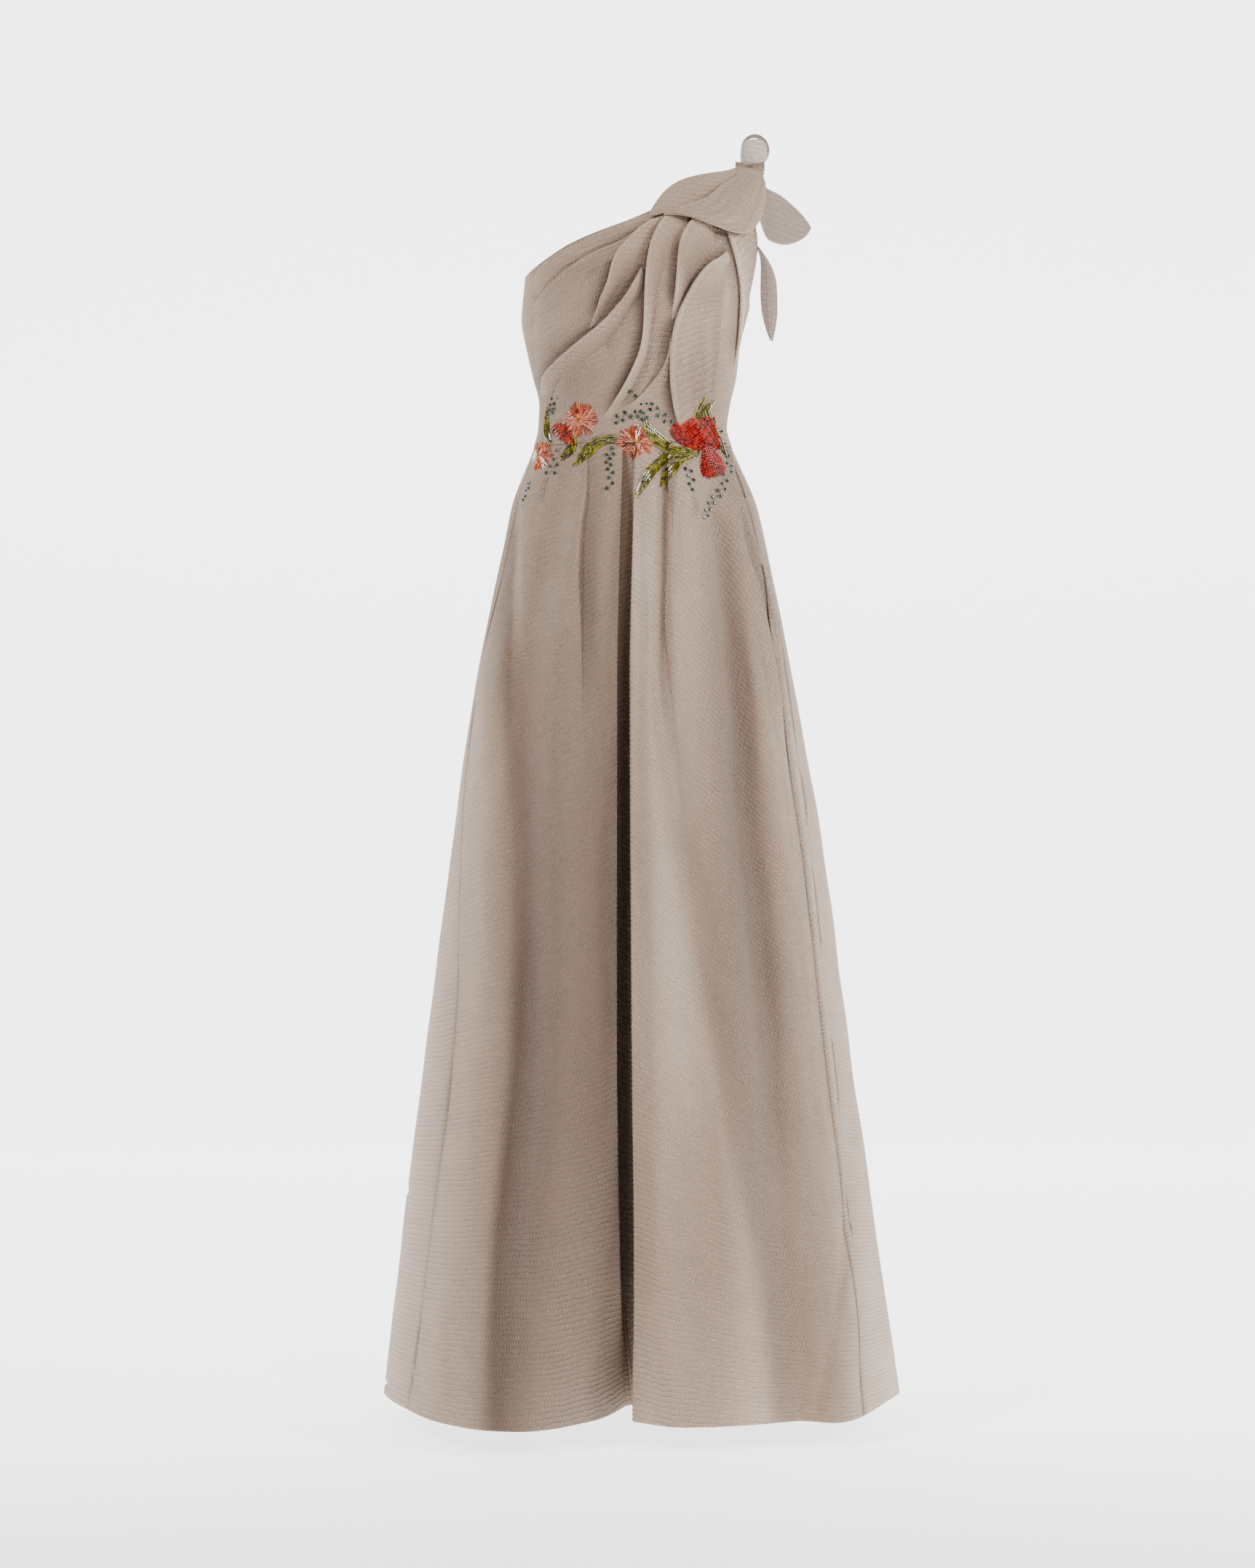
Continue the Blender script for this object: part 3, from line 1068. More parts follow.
# Materials.

class Graph:
    """A short way to build a material's nodes."""

    def __init__(self, name):
        self.material = bpy.data.materials.new(name)
        self.material.use_nodes = True
        self.tree = self.material.node_tree
        self.tree.nodes.clear()

    def add(self, kind, inputs=(), **settings):
        node = self.tree.nodes.new(kind)
        for key, value in settings.items():
            setattr(node, key, value)
        for socket, value in dict(inputs).items():
            target = node.inputs[socket]
            if isinstance(value, bpy.types.NodeSocket):
                self.tree.links.new(value, target)
            else:
                target.default_value = value
        return node

    def maths(self, operation, first, second=0.0, third=None):
        inputs = {0: first, 1: second}
        if third is not None:
            inputs[2] = third
        return self.add("ShaderNodeMath", inputs, operation=operation).outputs[0]

    def mix(self, factor, low, high):
        node = self.add("ShaderNodeMix", data_type="RGBA")
        for socket, value in ((0, factor), (6, low), (7, high)):
            if isinstance(value, bpy.types.NodeSocket):
                self.tree.links.new(value, node.inputs[socket])
            else:
                node.inputs[socket].default_value = value
        return node.outputs[2]


def cloth_material(name, light, dark, deep, pale, rib, sheer=0.0, sheen=0.30):
    """Crinkled weave: slanting rows of small puffs on the weave places, with tone from layers."""
    g = Graph(name)
    uv = g.add("ShaderNodeUVMap", uv_map="weave").outputs[0]
    wander = g.add("ShaderNodeTexNoise", {"Vector": uv, "Scale": 38.0, "Detail": 2.0})
    shift = g.add("ShaderNodeVectorMath", {0: wander.outputs["Color"], 1: (-0.5, -0.5, -0.5)},
                  operation="ADD").outputs[0]
    shift = g.add("ShaderNodeVectorMath", {0: shift, 1: (0.0040, 0.0065, 0.0)},
                  operation="MULTIPLY").outputs[0]
    jitter = g.add("ShaderNodeTexNoise", {"Vector": uv, "Scale": 260.0, "Detail": 1.0})
    small = g.add("ShaderNodeVectorMath", {0: jitter.outputs["Color"], 1: (-0.5, -0.5, -0.5)},
                  operation="ADD").outputs[0]
    small = g.add("ShaderNodeVectorMath", {0: small, 1: (0.0030, 0.0022, 0.0)},
                  operation="MULTIPLY").outputs[0]
    bent = g.add("ShaderNodeVectorMath", {0: uv, 1: shift}, operation="ADD").outputs[0]
    bent = g.add("ShaderNodeVectorMath", {0: bent, 1: small}, operation="ADD").outputs[0]
    place = g.add("ShaderNodeSeparateXYZ", {0: bent}).outputs
    tilted = g.maths("MULTIPLY_ADD", place["Y"], PUFF_TILT, place["X"])
    turn_along = g.maths("MULTIPLY", tilted, 2.0 * math.pi / PUFF_LENGTH)
    turn_up = g.maths("MULTIPLY", place["Y"], 2.0 * math.pi / RIB_PITCH)
    rows = g.maths("COSINE", turn_up)
    half = g.maths("COSINE", g.maths("MULTIPLY", turn_up, 0.5))
    breaks = g.maths("MULTIPLY", g.maths("COSINE", turn_along), half)
    puff = g.maths("MULTIPLY_ADD", breaks, 0.30, g.maths("MULTIPLY", rows, 0.55))
    puff = g.add("ShaderNodeMapRange", {"Value": puff, "From Min": -0.10, "From Max": 0.80},
                 interpolation_type="SMOOTHSTEP").outputs[0]
    threads = g.add("ShaderNodeMapping", {"Vector": bent, "Scale": (900.0, 300.0, 1.0),
                                          "Rotation": (0.0, 0.0, -0.6)})
    strand = g.add("ShaderNodeTexNoise", {"Vector": threads.outputs[0], "Scale": 1.0,
                                          "Detail": 3.0, "Roughness": 0.6}).outputs["Fac"]
    fine = g.add("ShaderNodeTexNoise", {"Vector": bent, "Scale": 1500.0,
                                        "Detail": 2.0}).outputs["Fac"]
    patch = g.add("ShaderNodeTexNoise", {"Vector": uv, "Scale": 16.0, "Detail": 1.0})
    strong = g.add("ShaderNodeMapRange", {"Value": patch.outputs["Fac"], "From Min": 0.35,
                                          "From Max": 0.65, "To Min": 0.55,
                                          "To Max": 1.15}).outputs[0]
    raised = g.maths("MULTIPLY", puff, strong)
    raised = g.maths("MULTIPLY_ADD", strand, 1.1, raised)
    raised = g.maths("MULTIPLY_ADD", fine, 0.2, raised)
    bump = g.add("ShaderNodeBump", {"Strength": rib, "Distance": 0.0030, "Height": raised})
    glint = g.maths("MULTIPLY", g.maths("MULTIPLY", puff, strong),
                    g.maths("MULTIPLY_ADD", strand, 0.9, 0.35))
    ramp = g.add("ShaderNodeMapRange", {"Value": glint, "From Min": 0.0, "From Max": 0.85})
    color = g.mix(ramp.outputs[0], (*dark, 1.0), (*light, 1.0))
    broad = g.add("ShaderNodeTexNoise", {"Vector": uv, "Scale": 5.0, "Detail": 2.0})
    tone = g.add("ShaderNodeAttribute", attribute_name="tone").outputs["Fac"]
    cloud = g.maths("MULTIPLY_ADD", broad.outputs["Fac"], 0.16, -0.08)
    depth = g.add("ShaderNodeClamp", {"Value": g.maths("ADD", tone, cloud)}).outputs[0]
    color = g.mix(depth, color, (*deep, 1.0))
    height = g.add("ShaderNodeClamp", {"Value": g.maths("MULTIPLY", tone, -1.0)}).outputs[0]
    color = g.mix(height, color, (*pale, 1.0))
    cloth = g.add("ShaderNodeBsdfPrincipled", {
        "Base Color": color, "Roughness": 0.72, "Sheen Weight": sheen, "Sheen Roughness": 0.45,
        "Sheen Tint": (1.0, 0.88, 0.78, 1.0), "Specular IOR Level": 0.28,
        "Normal": bump.outputs[0]})
    shader = cloth.outputs[0]
    if sheer:
        through = g.add("ShaderNodeBsdfTranslucent", {"Color": color, "Normal": bump.outputs[0]})
        shader = g.add("ShaderNodeMixShader", {0: 0.35, 1: shader, 2: through.outputs[0]}).outputs[0]
        holes = g.add("ShaderNodeBsdfTransparent")
        open_share = g.maths("MULTIPLY_ADD", fine, 0.35, sheer - 0.17)
        shader = g.add("ShaderNodeMixShader", {0: open_share, 1: shader, 2: holes.outputs[0]}).outputs[0]
    g.add("ShaderNodeOutputMaterial", {"Surface": shader})
    return g.material


def plain_stage_material():
    """White sweep: it glows behind the gown and fades towards the viewer."""
    g = Graph("studio_white")
    noise = g.add("ShaderNodeTexNoise", {"Scale": 3.0, "Detail": 2.0}).outputs["Fac"]
    color = g.mix(noise, (0.86, 0.86, 0.86, 1.0), (0.90, 0.90, 0.90, 1.0))
    surface = g.add("ShaderNodeBsdfPrincipled", {"Base Color": color, "Roughness": 0.9,
                                                 "Specular IOR Level": 0.1})
    place = g.add("ShaderNodeNewGeometry").outputs["Position"]
    depth = g.add("ShaderNodeSeparateXYZ", {0: place}).outputs["Y"]
    glow_share = g.add("ShaderNodeMapRange", {"Value": depth, "From Min": GLOW_FROM,
                                              "From Max": GLOW_TO, "To Min": 0.0,
                                              "To Max": STAGE_GLOW},
                       interpolation_type="SMOOTHSTEP").outputs[0]
    glow = g.add("ShaderNodeEmission", {"Color": (1.0, 1.0, 1.0, 1.0), "Strength": glow_share})
    both = g.add("ShaderNodeAddShader", {0: surface.outputs[0], 1: glow.outputs[0]})
    g.add("ShaderNodeOutputMaterial", {"Surface": both.outputs[0]})
    return g.material


# Stage, light and camera.

CAMERA_DISTANCE = 4.5
CAMERA_HEIGHT = 0.750
CAMERA_ACROSS = -0.00675
VIEW_TALL = 1.9404
STAGE_GLOW = 3.0
GLOW_FROM = -2.4
GLOW_TO = 0.6


def make_stage():
    """A floor that curves up into a wall, far behind the gown."""
    floor = -HELD_AT[2] - FLOOR_DROP
    profile = [(-7.0, floor), (3.0, floor)]
    for k in range(1, 13):
        turn = math.radians(90.0 * k / 12)
        profile.append((3.0 + 1.6 * math.sin(turn), floor + 1.6 * (1.0 - math.cos(turn))))
    profile.append((4.6, floor + 6.0))
    points = []
    for y, z in profile:
        points += [(-6.0, y, z), (6.0, y, z)]
    faces = [(2 * k, 2 * k + 1, 2 * k + 3, 2 * k + 2) for k in range(len(profile) - 1)]
    mesh = bpy.data.meshes.new("studio_floor")
    mesh.from_pydata(points, [], faces)
    mesh.materials.append(plain_stage_material())
    mesh.shade_smooth()
    made = bpy.data.objects.new("studio_floor", mesh)
    bpy.context.scene.collection.objects.link(made)


def area_light(name, place, target, size, power, color=(1.0, 1.0, 1.0)):
    """A soft rectangular light that looks at a target."""
    data = bpy.data.lights.new(name, "AREA")
    data.shape = "RECTANGLE"
    data.size = size[0]
    data.size_y = size[1]
    data.energy = power
    data.color = color
    made = bpy.data.objects.new(name, data)
    made.location = place
    made.rotation_euler = (Vector(target) - Vector(place)).to_track_quat("-Z", "Y").to_euler()
    bpy.context.scene.collection.objects.link(made)


def make_light():
    """Soft key from the upper left, fill from the right and an even surround."""
    middle = (-0.15, 0.0, -0.75)
    area_light("key", (-2.7, -2.3, 1.9), middle, (1.0, 1.6), 158.0, (1.0, 0.985, 0.97))
    area_light("front", (1.4, -4.2, 1.9), middle, (1.2, 1.2), 80.0, (1.0, 0.985, 0.97))
    area_light("fill", (3.2, -1.5, 1.0), middle, (1.2, 2.2), 160.0, (1.0, 0.99, 0.98))
    world = bpy.data.worlds.new("studio")
    world.use_nodes = True
    world.node_tree.nodes["Background"].inputs["Color"].default_value = (1.0, 1.0, 1.0, 1.0)
    world.node_tree.nodes["Background"].inputs["Strength"].default_value = 0.03
    bpy.context.scene.world = world


def make_camera():
    """Camera at the photograph's viewing angle."""
    data = bpy.data.cameras.new("camera")
    data.sensor_fit = "AUTO"
    data.sensor_width = 36.0
    data.lens = 36.0 * CAMERA_DISTANCE / VIEW_TALL
    made = bpy.data.objects.new("camera", data)
    made.location = (CAMERA_ACROSS - HELD_AT[0], -CAMERA_DISTANCE - HELD_AT[1],
                     CAMERA_HEIGHT - HELD_AT[2])
    made.rotation_euler = (math.radians(90.0), 0.0, 0.0)
    bpy.context.scene.collection.objects.link(made)
    bpy.context.scene.camera = made


make_camera()
make_stage()
make_light()

PALE = (0.86, 0.69, 0.57)
DEEP = (0.14, 0.088, 0.060)
weave = cloth_material("crinkled_weave", (0.59, 0.42, 0.31), (0.415, 0.288, 0.207), DEEP, PALE, 1.0)
under_weave = cloth_material("shaded_weave", (0.58, 0.42, 0.32), (0.36, 0.25, 0.18), DEEP, PALE,
                             0.7)
smooth_weave = cloth_material("fine_weave", (0.56, 0.40, 0.293), (0.42, 0.295, 0.212), DEEP, PALE,
                              0.8)
sheer_weave = cloth_material("sheer_weave", (0.64, 0.465, 0.37), (0.44, 0.31, 0.235),
                             (0.30, 0.20, 0.14), PALE, 1.0, sheer=0.17)
pale_weave = cloth_material("pale_weave", (0.90, 0.84, 0.78), (0.66, 0.56, 0.48),
                            (0.34, 0.24, 0.18), PALE, 0.8, sheer=0.17)

CLOTH_PIECES = []


def dress(piece, material, node):
    """Gives a sheet its material, body, node, slot and cut."""
    piece.data.materials.append(material)
    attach(piece, "root")
    if node:
        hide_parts(node)
    CLOTH_PIECES.append(piece)


skirt = make_skirt()
# Cut of the skirt panels: width at the hem, length and area.
SKIRT_CUTS = {
    "skirt_front_left": (0.40, 1.21, 0.33), "skirt_front_right": (0.42, 1.21, 0.36),
    "skirt_pleat_underlay": (0.12, 1.19, 0.09), "skirt_side_left": (0.30, 1.21, 0.25),
    "skirt_side_right": (0.34, 1.21, 0.26), "skirt_back_left": (0.37, 1.22, 0.31),
    "skirt_back_right": (0.39, 1.22, 0.33),
}
for node, (width, length, area) in SKIRT_CUTS.items():
    under = node == "skirt_pleat_underlay"
    dress(skirt[node], under_weave if under else weave, node)

bodice_front = make_bodice_panel("bodice_front", TOP_FRONT, -90.0, 90.0, False, 180, 230)
dress(bodice_front, weave, "bodice_front")
back_left = make_bodice_panel("bodice_back_left", TOP_BACK_LEFT, -180.0, -90.0, True, 90, 80)
dress(back_left, weave, "bodice_back_left")
back_right = make_bodice_panel("bodice_back_right", TOP_BACK_RIGHT, 90.0, 180.0, True, 120, 110)
dress(back_right, weave, "bodice_back_right")

FOLD_CUTS = {
    "drape_fold_upper": (0.05, 0.16, 0.0048), "drape_fold_lower": (0.06, 0.20, 0.0080),
    "drape_fold_long": (0.06, 0.29, 0.0082), "drape_fold_middle": (0.07, 0.15, 0.0054),
    "drape_fold_wide": (0.09, 0.24, 0.0155), "side_drape": (0.05, 0.18, 0.0084),
}
for node, (width, length, area) in FOLD_CUTS.items():
    piece = make_fold(node, DRAPE_FOLDS[node])
    dress(piece, smooth_weave, node)

LOW_CUTS = {
    "neck_crease": (0.04, 0.18, 0.0048), "bust_crease": (0.06, 0.18, 0.0060),
    "side_crease": (0.04, 0.11, 0.0030), "waist_crease_left": (0.04, 0.10, 0.0030),
    "waist_crease_middle": (0.04, 0.13, 0.0025),
}
for name, (width, length, area) in LOW_CUTS.items():
    piece = make_fold(name, LOW_FOLDS[name], low=True)
    dress(piece, weave, None)

collar = make_collar()
dress(collar, smooth_weave, "collar_flap")
front_petal = make_petal("shoulder_petal_front", FRONT_PETAL_ROWS,
                         ((2.0, 0.4, 2.0), (5.0, 1.0, 0.8), (11.0, 0.3, 0.35)), 90, 60)
dress(front_petal, smooth_weave, "shoulder_petal_front")
side_petal = make_petal("shoulder_petal_side", SIDE_PETAL_ROWS,
                        ((3.0, 0.2, 1.5), (9.0, 0.6, 0.5), (17.0, 1.2, 0.25)), 70, 60)
dress(side_petal, sheer_weave, "shoulder_petal_side")
tail_petal = make_petal("shoulder_petal_tail", TAIL_PETAL_ROWS,
                        ((2.0, 0.2, 1.2), (7.0, 0.9, 0.4)), 70, 40)
dress(tail_petal, sheer_weave, "shoulder_petal_tail")
strap = make_strap()
dress(strap, smooth_weave, "shoulder_strap")
loop = make_loop()
dress(loop, sheer_weave, "shoulder_loop")
wrap = make_wrap()
dress(wrap, pale_weave, "shoulder_wrap")

# Beadwork. Places are across and height in millimetres on the front, and turn round the sides.

# Round flowers: centre, half width and half height, petals.
ROUND_FLOWERS = (
    ((-64, 1193), (21, 21), 7),
    ((3, 1165), (24, 20), 8),
    ((-115, 1152), (18, 19), 6),
)
# Red petals: base, tip, width and number of rows.
RED_PETALS = (
    ((-72, 1164), (-94, 1190), 20, 8),
    ((84, 1158), (56, 1193), 40, 13),
    ((101, 1158), (86, 1198), 30, 12),
    ((90, 1160), (101, 1125), 31, 12),
)
# Leaves: the way from base to tip, and the width.
LEAVES = (
    (((-99, 1168), (-108, 1186), (-107, 1213)), 9),
    (((-71, 1171), (-76, 1158), (-90, 1144)), 11),
    (((-19, 1170), (-44, 1164), (-58, 1150), (-73, 1137)), 15),
    (((52, 1152), (36, 1163), (22, 1176), (15, 1191)), 17),
    (((80, 1151), (52, 1154), (28, 1136), (14, 1116), (3, 1096)), 13),
    (((72, 1148), (54, 1142), (44, 1128), (33, 1110)), 12),
    (((76, 1196), (71, 1210), (75, 1232)), 9),
    (((82, 1184), (80, 1200), (86, 1222)), 7),
    (((117, 1150), (106, 1174), (93, 1198), (90, 1208), (98, 1217)), 8),
)
# Sprigs of green crystals: the way of the stem, and the number of crystals.
SPRIGS = (
    (((-101, 1203), (-98, 1216), (-88, 1233)), 9),
    (((-24, 1190), (-12, 1196), (4, 1199), (14, 1194)), 9),
    (((15, 1188), (10, 1206), (2, 1216), (-2, 1229)), 6),
    (((44, 1186), (36, 1196), (24, 1206), (18, 1214)), 8),
    (((-22, 1158), (-30, 1144), (-27, 1128), (-28, 1104)), 11),
    (((-88, 1160), (-94, 1140), (-102, 1126)), 7),
    (((-128, 1120), (-134, 1106), (-140, 1088)), 6),
    (((104, 1190), (112, 1172), (118, 1148), (126, 1132)), 9),
    (((64, 1136), (68, 1122), (67, 1104)), 6),
    (((112, 1130), (108, 1112), (101, 1098), (92, 1084), (86, 1070)), 13),
)
# Strands of silver seed beads: the way and the half width of their zigzag.
STRANDS = (
    (((-62, 1186), (-61, 1172), (-64, 1158)), 2.2),
    (((26, 1156), (36, 1150), (44, 1148)), 2.0),
    (((-104, 1122), (-108, 1108), (-110, 1092)), 2.6),
    (((70, 1098), (74, 1086), (70, 1070)), 3.2),
)


class ClothFront:
    """Finds the cloth's outer surface at a place on the waist and hips."""

    def __init__(self, pieces):
        bpy.context.view_layer.update()
        graph = bpy.context.evaluated_depsgraph_get()
        self.trees = [BVHTree.FromObject(piece, graph) for piece in pieces]

    def at(self, across_mm, height_mm):
        """Point on the cloth, its normal and the direction across."""
        height = height_mm * MM
        rings = SKIRT_RINGS if height < WAIST_HEIGHT else BODICE_RINGS
        left, right, front, _ = [float(v) for v in ring_sizes(rings, height)]
        side = 1.0 if across_mm > 0 else -1.0
        half = right if side > 0 else left
        reach = abs(across_mm) * MM
        bend = 0.82 * half
        if reach <= bend:
            turn = math.asin(reach / half)
        else:
            turn = math.asin(0.82) + (reach - bend) / (0.95 * front)
        point = Vector((side * half * math.sin(turn), -front * math.cos(turn), height))
        out = Vector((side * math.sin(turn) / half, -math.cos(turn) / front, 0.0)).normalized()
        start = point + out * 0.12 - Vector(HELD_AT)
        best = None
        for tree in self.trees:
            hit, normal, _, distance = tree.ray_cast(start, -out, 0.25)
            if hit is not None and (best is None or distance < best[2]):
                best = (hit, normal, distance)
        if best is None:
            best = (point - Vector(HELD_AT), out, 0.0)
        normal = (best[1] * 0.35 + out * 0.65).normalized()
        across = Vector((0.0, 0.0, 1.0)).cross(normal)
        across = (across * (1.0 if across.x * out.y <= 0.0 else 1.0)).normalized()
        if across.dot(Vector((math.cos(turn), side * math.sin(turn), 0.0))) < 0.0:
            across = -across
        return best[0], normal, across


BUGLE = ((-0.5, 0.55), (-0.34, 1.0), (0.34, 1.0), (0.5, 0.55))
CRYSTAL = ((0.5, 0.55), (0.12, 1.0), (-0.4, 0.6))


class Beads:
    """Collects beads of one kind into a single mesh."""

    def __init__(self, name, sides, smooth_faces=False):
        self.name = name
        self.sides = sides
        self.smooth_faces = smooth_faces
        self.points = []
        self.faces = []
        self.tones = []

    def add(self, centre, first, second, third, profile, tone):
        """A bead turned round its first axis; the axes hold its half sizes."""
        start = len(self.points)
        for along, radius in profile:
            for k in range(self.sides):
                turn = 2.0 * math.pi * (k + 0.5) / self.sides
                self.points.append(centre + first * (2.0 * along) + second * (radius * math.cos(turn))
                                   + third * (radius * math.sin(turn)))
                self.tones.append(tone)
        count = self.sides
        rings = len(profile)
        for ring in range(rings - 1):
            for k in range(count):
                a = start + ring * count + k
                b = start + ring * count + (k + 1) % count
                self.faces.append((a, b, b + count, a + count))
        self.faces.append(tuple(start + k for k in reversed(range(count))))
        self.faces.append(tuple(start + (rings - 1) * count + k for k in range(count)))

    def build(self, material):
        mesh = bpy.data.meshes.new(self.name)
        mesh.from_pydata([tuple(p) for p in self.points], [], self.faces)
        shade = mesh.attributes.new("tone", "FLOAT", "POINT")
        shade.data.foreach_set("value", np.array(self.tones, np.float32))
        mesh.validate()
        made = bpy.data.objects.new(self.name, mesh)
        bpy.context.scene.collection.objects.link(made)
        scratch = bmesh.new()
        scratch.from_mesh(mesh)
        bmesh.ops.recalc_face_normals(scratch, faces=scratch.faces)
        scratch.to_mesh(mesh)
        scratch.free()
        if self.smooth_faces:
            mesh.shade_smooth()
        mesh.materials.append(material)
        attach(made, "root")
        return made


class Beadwork:
    """Lays the motifs of the waist on the cloth."""

    def __init__(self, cloth):
        self.cloth = cloth
        self.draw = np.random.default_rng(71)
        self.coral = Beads("beads_coral", 6)
        self.gold = Beads("beads_gold", 6)
        self.red = Beads("beads_red", 6)
        self.olive = Beads("beads_olive", 6)
        self.green = Beads("beads_green", 8)
        self.silver = Beads("beads_silver", 6, True)

    def bugle(self, group, across, height, turn_deg, length, width, lift, rise=0.0):
        """A long bead on the cloth, turned from the across direction."""
        point, normal, side = self.cloth.at(across, height)
        up = normal.cross(side)
        if up.z < 0.0:
            up = -up
        turn = math.radians(turn_deg)
        way = (side * math.cos(turn) + up * math.sin(turn) + normal * rise).normalized()
        beside = normal.cross(way).normalized()
        top = way.cross(beside).normalized()
        tone = float(self.draw.uniform(0.0, 1.0))
        group.add(point + normal * (lift * MM), way * (0.5 * length * MM),
                  beside * (0.5 * width * MM), top * (0.42 * width * MM), BUGLE, tone)

    def seed(self, across, height, size=1.1, lift=0.5):
        """A small round silver bead."""
        point, normal, side = self.cloth.at(across, height)
        up = normal.cross(side)
        half = 0.5 * size * MM
        self.silver.add(point + normal * (lift * MM), normal * half, side * half, up * half,
                        ((-0.4, 0.6), (0.0, 1.0), (0.4, 0.6)), float(self.draw.uniform(0, 1)))

    def crystal(self, across, height, size=3.6):
        """A faceted green crystal in a ring of silver beads."""
        point, normal, side = self.cloth.at(across, height)
        up = normal.cross(side)
        half = 0.5 * size * MM
        stretch = float(self.draw.uniform(0.95, 1.35))
        turn = float(self.draw.uniform(0.0, math.pi))
        long_way = side * math.cos(turn) + up * math.sin(turn)
        short_way = normal.cross(long_way)
        self.green.add(point + normal * (1.0 * MM), normal * (0.8 * half),
                       long_way * (half * stretch), short_way * half, CRYSTAL[::-1],
                       float(self.draw.uniform(0, 1)))
        for k in range(9):
            angle = 2.0 * math.pi * k / 9.0 + turn
            self.seed(across + 0.62 * size * stretch * math.cos(angle),
                      height + 0.62 * size * math.sin(angle), 1.05, 0.4)

    def round_flower(self, centre, half, petals):
        """Rings of long beads that point outward, with a golden heart."""
        tiers = ((self.coral, 44, 0.78, 0.44, 2.0, 0.9, 0.10), (self.coral, 34, 0.54, 0.42, 2.0, 1.9, 0.20),
                 (self.coral, 24, 0.34, 0.36, 1.8, 2.7, 0.32),
                 (self.gold, 16, 0.25, 0.34, 1.6, 2.9, 0.40), (self.gold, 6, 0.08, 0.18, 1.4, 3.2, 0.9))
        for group, count, place, length, width, lift, rise in tiers:
            for k in range(count):
                angle = 360.0 * (k + self.draw.uniform(-0.25, 0.25)) / count
                wave = 1.0 + 0.09 * math.cos(math.radians(petals * angle))
                wave *= float(self.draw.uniform(0.94, 1.05))
                x = half[0] * place * wave * math.cos(math.radians(angle))
                z = half[1] * place * wave * math.sin(math.radians(angle))
                size = length * 0.5 * (half[0] + half[1])
                self.bugle(group, centre[0] + x, centre[1] + z, angle, size, width, lift, -rise)

    def red_petal(self, base, tip, width, rows):
        """Staggered small beads that run from the base of a petal to its rounded tip."""
        base = np.array(base, dtype=float)
        tip = np.array(tip, dtype=float)
        axis = tip - base
        length = float(np.hypot(*axis))
        way = axis / length
        beside = np.array((-way[1], way[0]))
        turn = math.degrees(math.atan2(way[1], way[0]))
        for row in range(rows):
            share = (row + 0.5) / rows
            half = 0.5 * width * (0.30 + 0.70 * math.sin(math.pi * min(1.0, share * 0.62 + 0.02)))
            if share > 0.8:
                half *= math.sqrt(max(0.0, 1.0 - ((share - 0.8) / 0.24)**2))
            count = max(2, int(round(2.0 * half / 2.0)))
            for k in range(count):
                offset = -half + 2.0 * half * (k + 0.5 + 0.25 * (row % 2) - 0.12) / count
                place = base + way * length * share + beside * offset
                fan = -28.0 * offset / (0.5 * width)
                fan += float(self.draw.uniform(-7.0, 7.0))
                lift = 1.0 + 1.4 * math.cos(0.5 * math.pi * min(1.0, abs(offset) / (half + 0.1)))
                self.bugle(self.red, place[0], place[1], turn - fan, 4.4, 1.8, lift, -0.25)

    def leaf(self, way, width):
        """Long beads in slanted rows on both sides of a leaf's middle line."""
        points = np.array(way, dtype=float)
        length = float(np.sum(np.hypot(*np.diff(points, axis=0).T)))
        steps = max(4, int(round(length / 3.4)))
        for k in range(steps):
            share = (k + 0.4) / steps
            centre = along_way(way, [share])[0]
            ahead = along_way(way, [min(1.0, share + 0.04)])[0]
            behind = along_way(way, [max(0.0, share - 0.04)])[0]
            axis = (ahead - behind) / np.hypot(*(ahead - behind))
            beside = np.array((-axis[1], axis[0]))
            turn = math.degrees(math.atan2(axis[1], axis[0]))
            half = 0.5 * width * math.sin(math.pi * min(0.97, share * 0.90 + 0.09))**0.8
            lanes = max(1, int(round(2.0 * half / 2.7)))
            for lane in range(lanes):
                offset = 0.0 if lanes == 1 else half * (2.0 * lane / (lanes - 1) - 1.0) * 0.8
                slant = -26.0 * offset / (0.5 * width)
                place = centre + beside * offset + axis * (1.1 * (lane % 2))
                lift = 1.9 - 0.8 * abs(offset) / (half + 0.1)
                self.bugle(self.olive, place[0], place[1],
                           turn - slant + float(self.draw.uniform(-6, 6)), 5.4, 2.4, lift, -0.08)

    def sprig(self, way, count):
        """Crystals in turn left and right of a stem of silver beads."""
        points = np.array(way, dtype=float)
        length = float(np.sum(np.hypot(*np.diff(points, axis=0).T)))
        for k in range(int(length / 1.9)):
            place = along_way(way, [k * 1.9 / length])[0]
            self.seed(place[0] + 0.5 * math.sin(2.1 * k), place[1])
        for k in range(count):
            share = (k + 0.6) / count
            centre = along_way(way, [share])[0]
            ahead = along_way(way, [min(1.0, share + 0.05)])[0]
            axis = (ahead - centre) / max(0.01, np.hypot(*(ahead - centre)))
            beside = np.array((-axis[1], axis[0])) * (1.0 if k % 2 else -1.0)
            place = centre + beside * float(self.draw.uniform(2.2, 4.2))
            self.crystal(place[0], place[1], float(self.draw.uniform(3.0, 3.9)))

    def strand(self, way, half_width):
        """Silver beads in a narrow zigzag."""
        points = np.array(way, dtype=float)
        length = float(np.sum(np.hypot(*np.diff(points, axis=0).T)))
        for k in range(int(length / 0.8)):
            place = along_way(way, [k * 0.8 / length])[0]
            turn = k * 1.3
            self.seed(place[0] + half_width * math.sin(turn), place[1] + 0.4 * math.cos(turn), 1.2)

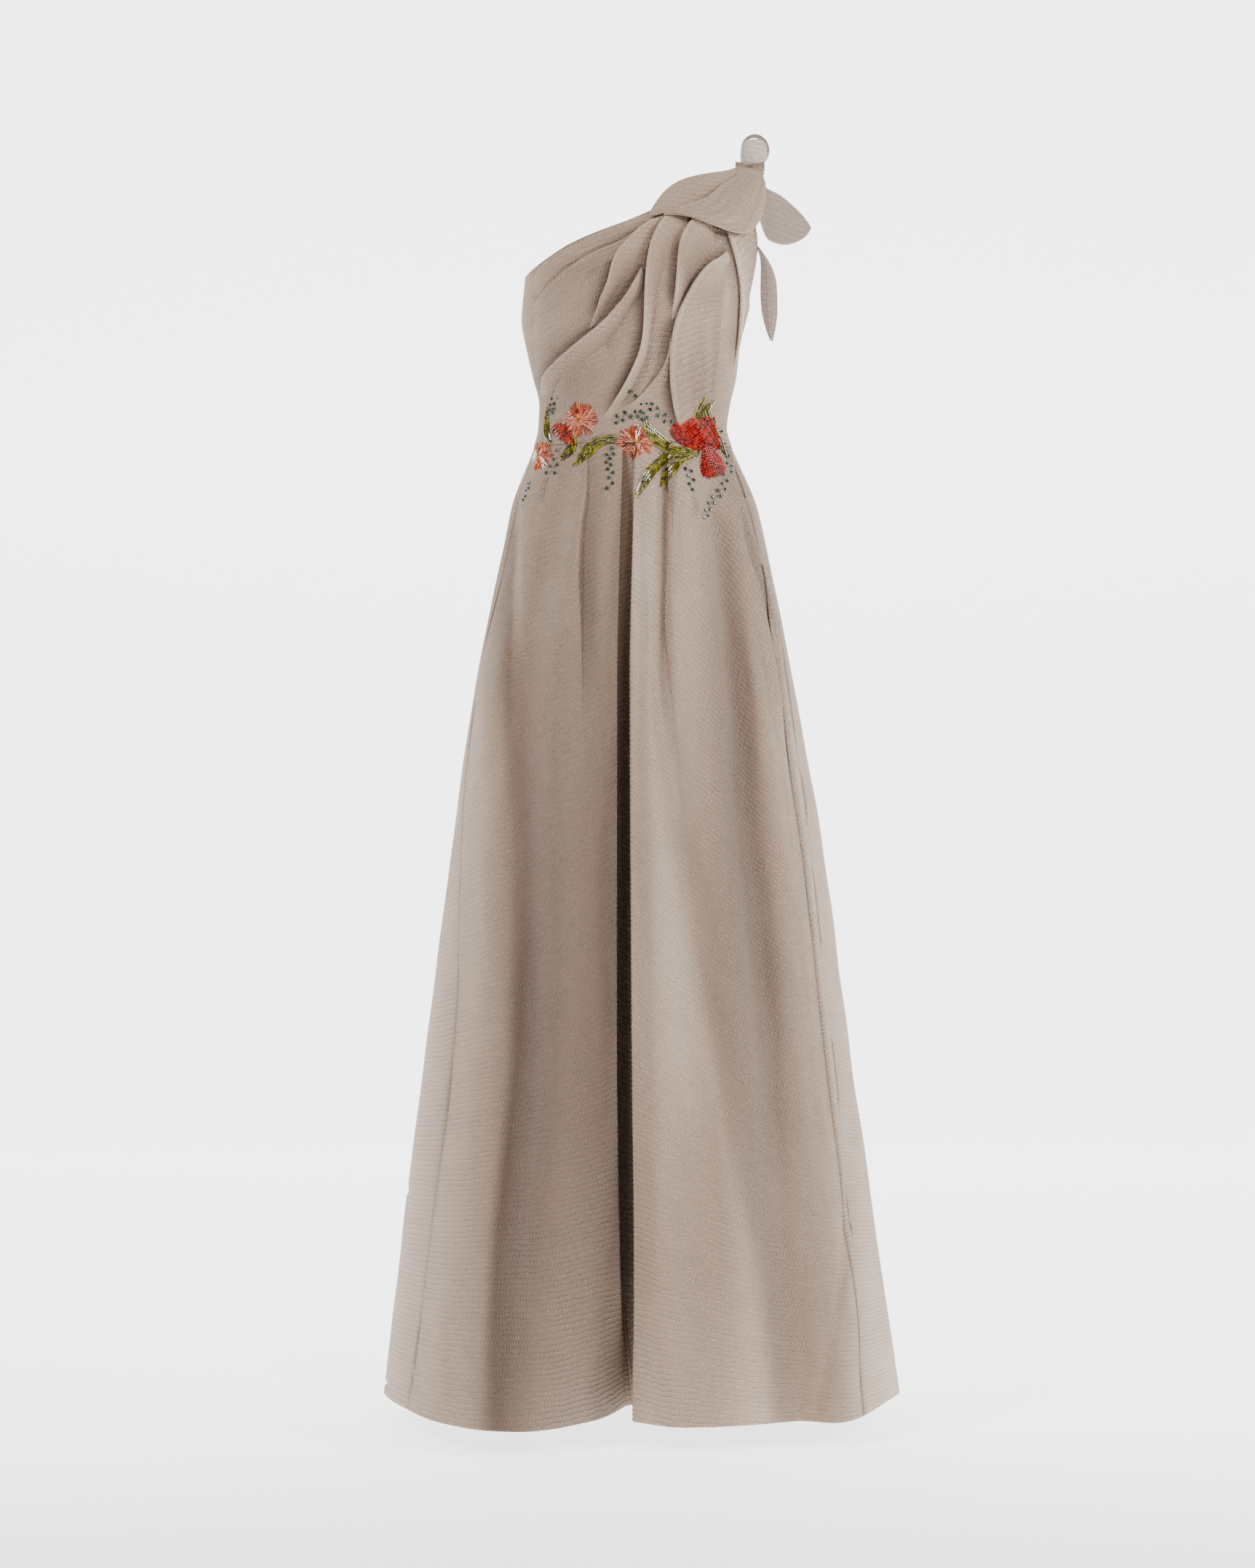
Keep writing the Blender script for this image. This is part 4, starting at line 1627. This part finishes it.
    def lay(self):
        for centre, half, petals in ROUND_FLOWERS:
            self.round_flower(centre, half, petals)
        for base, tip, width, rows in RED_PETALS:
            self.red_petal(base, tip, width, rows)
        for way, width in LEAVES:
            self.leaf(way, width)
        for way, count in SPRIGS:
            self.sprig(way, count)
        for way, half_width in STRANDS:
            self.strand(way, half_width)


def bead_material(name, dark, middle, bright, roughness=0.12, metallic=0.0, through=0.0):
    """Cut glass or metal whose colour differs from bead to bead."""
    g = Graph(name)
    tone = g.add("ShaderNodeAttribute", attribute_name="tone").outputs["Fac"]
    ramp = g.add("ShaderNodeValToRGB", {"Fac": tone})
    ramp.color_ramp.elements[0].color = (*dark, 1.0)
    ramp.color_ramp.elements[1].color = (*bright, 1.0)
    ramp.color_ramp.elements.new(0.55).color = (*middle, 1.0)
    cloud = g.add("ShaderNodeTexNoise", {"Scale": 900.0, "Detail": 2.0}).outputs["Fac"]
    shade = g.maths("MULTIPLY_ADD", cloud, 0.7, 0.65)
    color = g.add("ShaderNodeVectorMath", {0: ramp.outputs["Color"], 3: shade},
                  operation="SCALE").outputs[0]
    glass = g.add("ShaderNodeBsdfPrincipled", {
        "Base Color": color, "Roughness": roughness, "Metallic": metallic,
        "Specular IOR Level": 0.5, "Coat Weight": 0.45, "Coat Roughness": 0.05})
    g.add("ShaderNodeOutputMaterial", {"Surface": glass.outputs[0]})
    return g.material


beadwork = Beadwork(ClothFront([bodice_front, back_left, back_right] + list(skirt.values())))
beadwork.lay()
beadwork.coral.build(bead_material("coral_glass", (0.16, 0.018, 0.006), (0.42, 0.075, 0.030),
                                   (0.68, 0.24, 0.13)))
beadwork.gold.build(bead_material("gold_glass", (0.18, 0.055, 0.006), (0.40, 0.16, 0.025),
                                  (0.62, 0.33, 0.10)))
beadwork.red.build(bead_material("red_glass", (0.09, 0.001, 0.001), (0.32, 0.003, 0.002),
                                 (0.62, 0.028, 0.008)))
beadwork.olive.build(bead_material("olive_glass", (0.026, 0.020, 0.001), (0.105, 0.086, 0.002),
                                   (0.30, 0.27, 0.016)))
beadwork.green.build(bead_material("green_glass", (0.004, 0.014, 0.007), (0.010, 0.038, 0.020),
                                   (0.03, 0.09, 0.055), 0.06))
beadwork.silver.build(bead_material("silver_metal", (0.06, 0.055, 0.05), (0.22, 0.21, 0.20),
                                    (0.70, 0.68, 0.65), 0.22, 0.9))
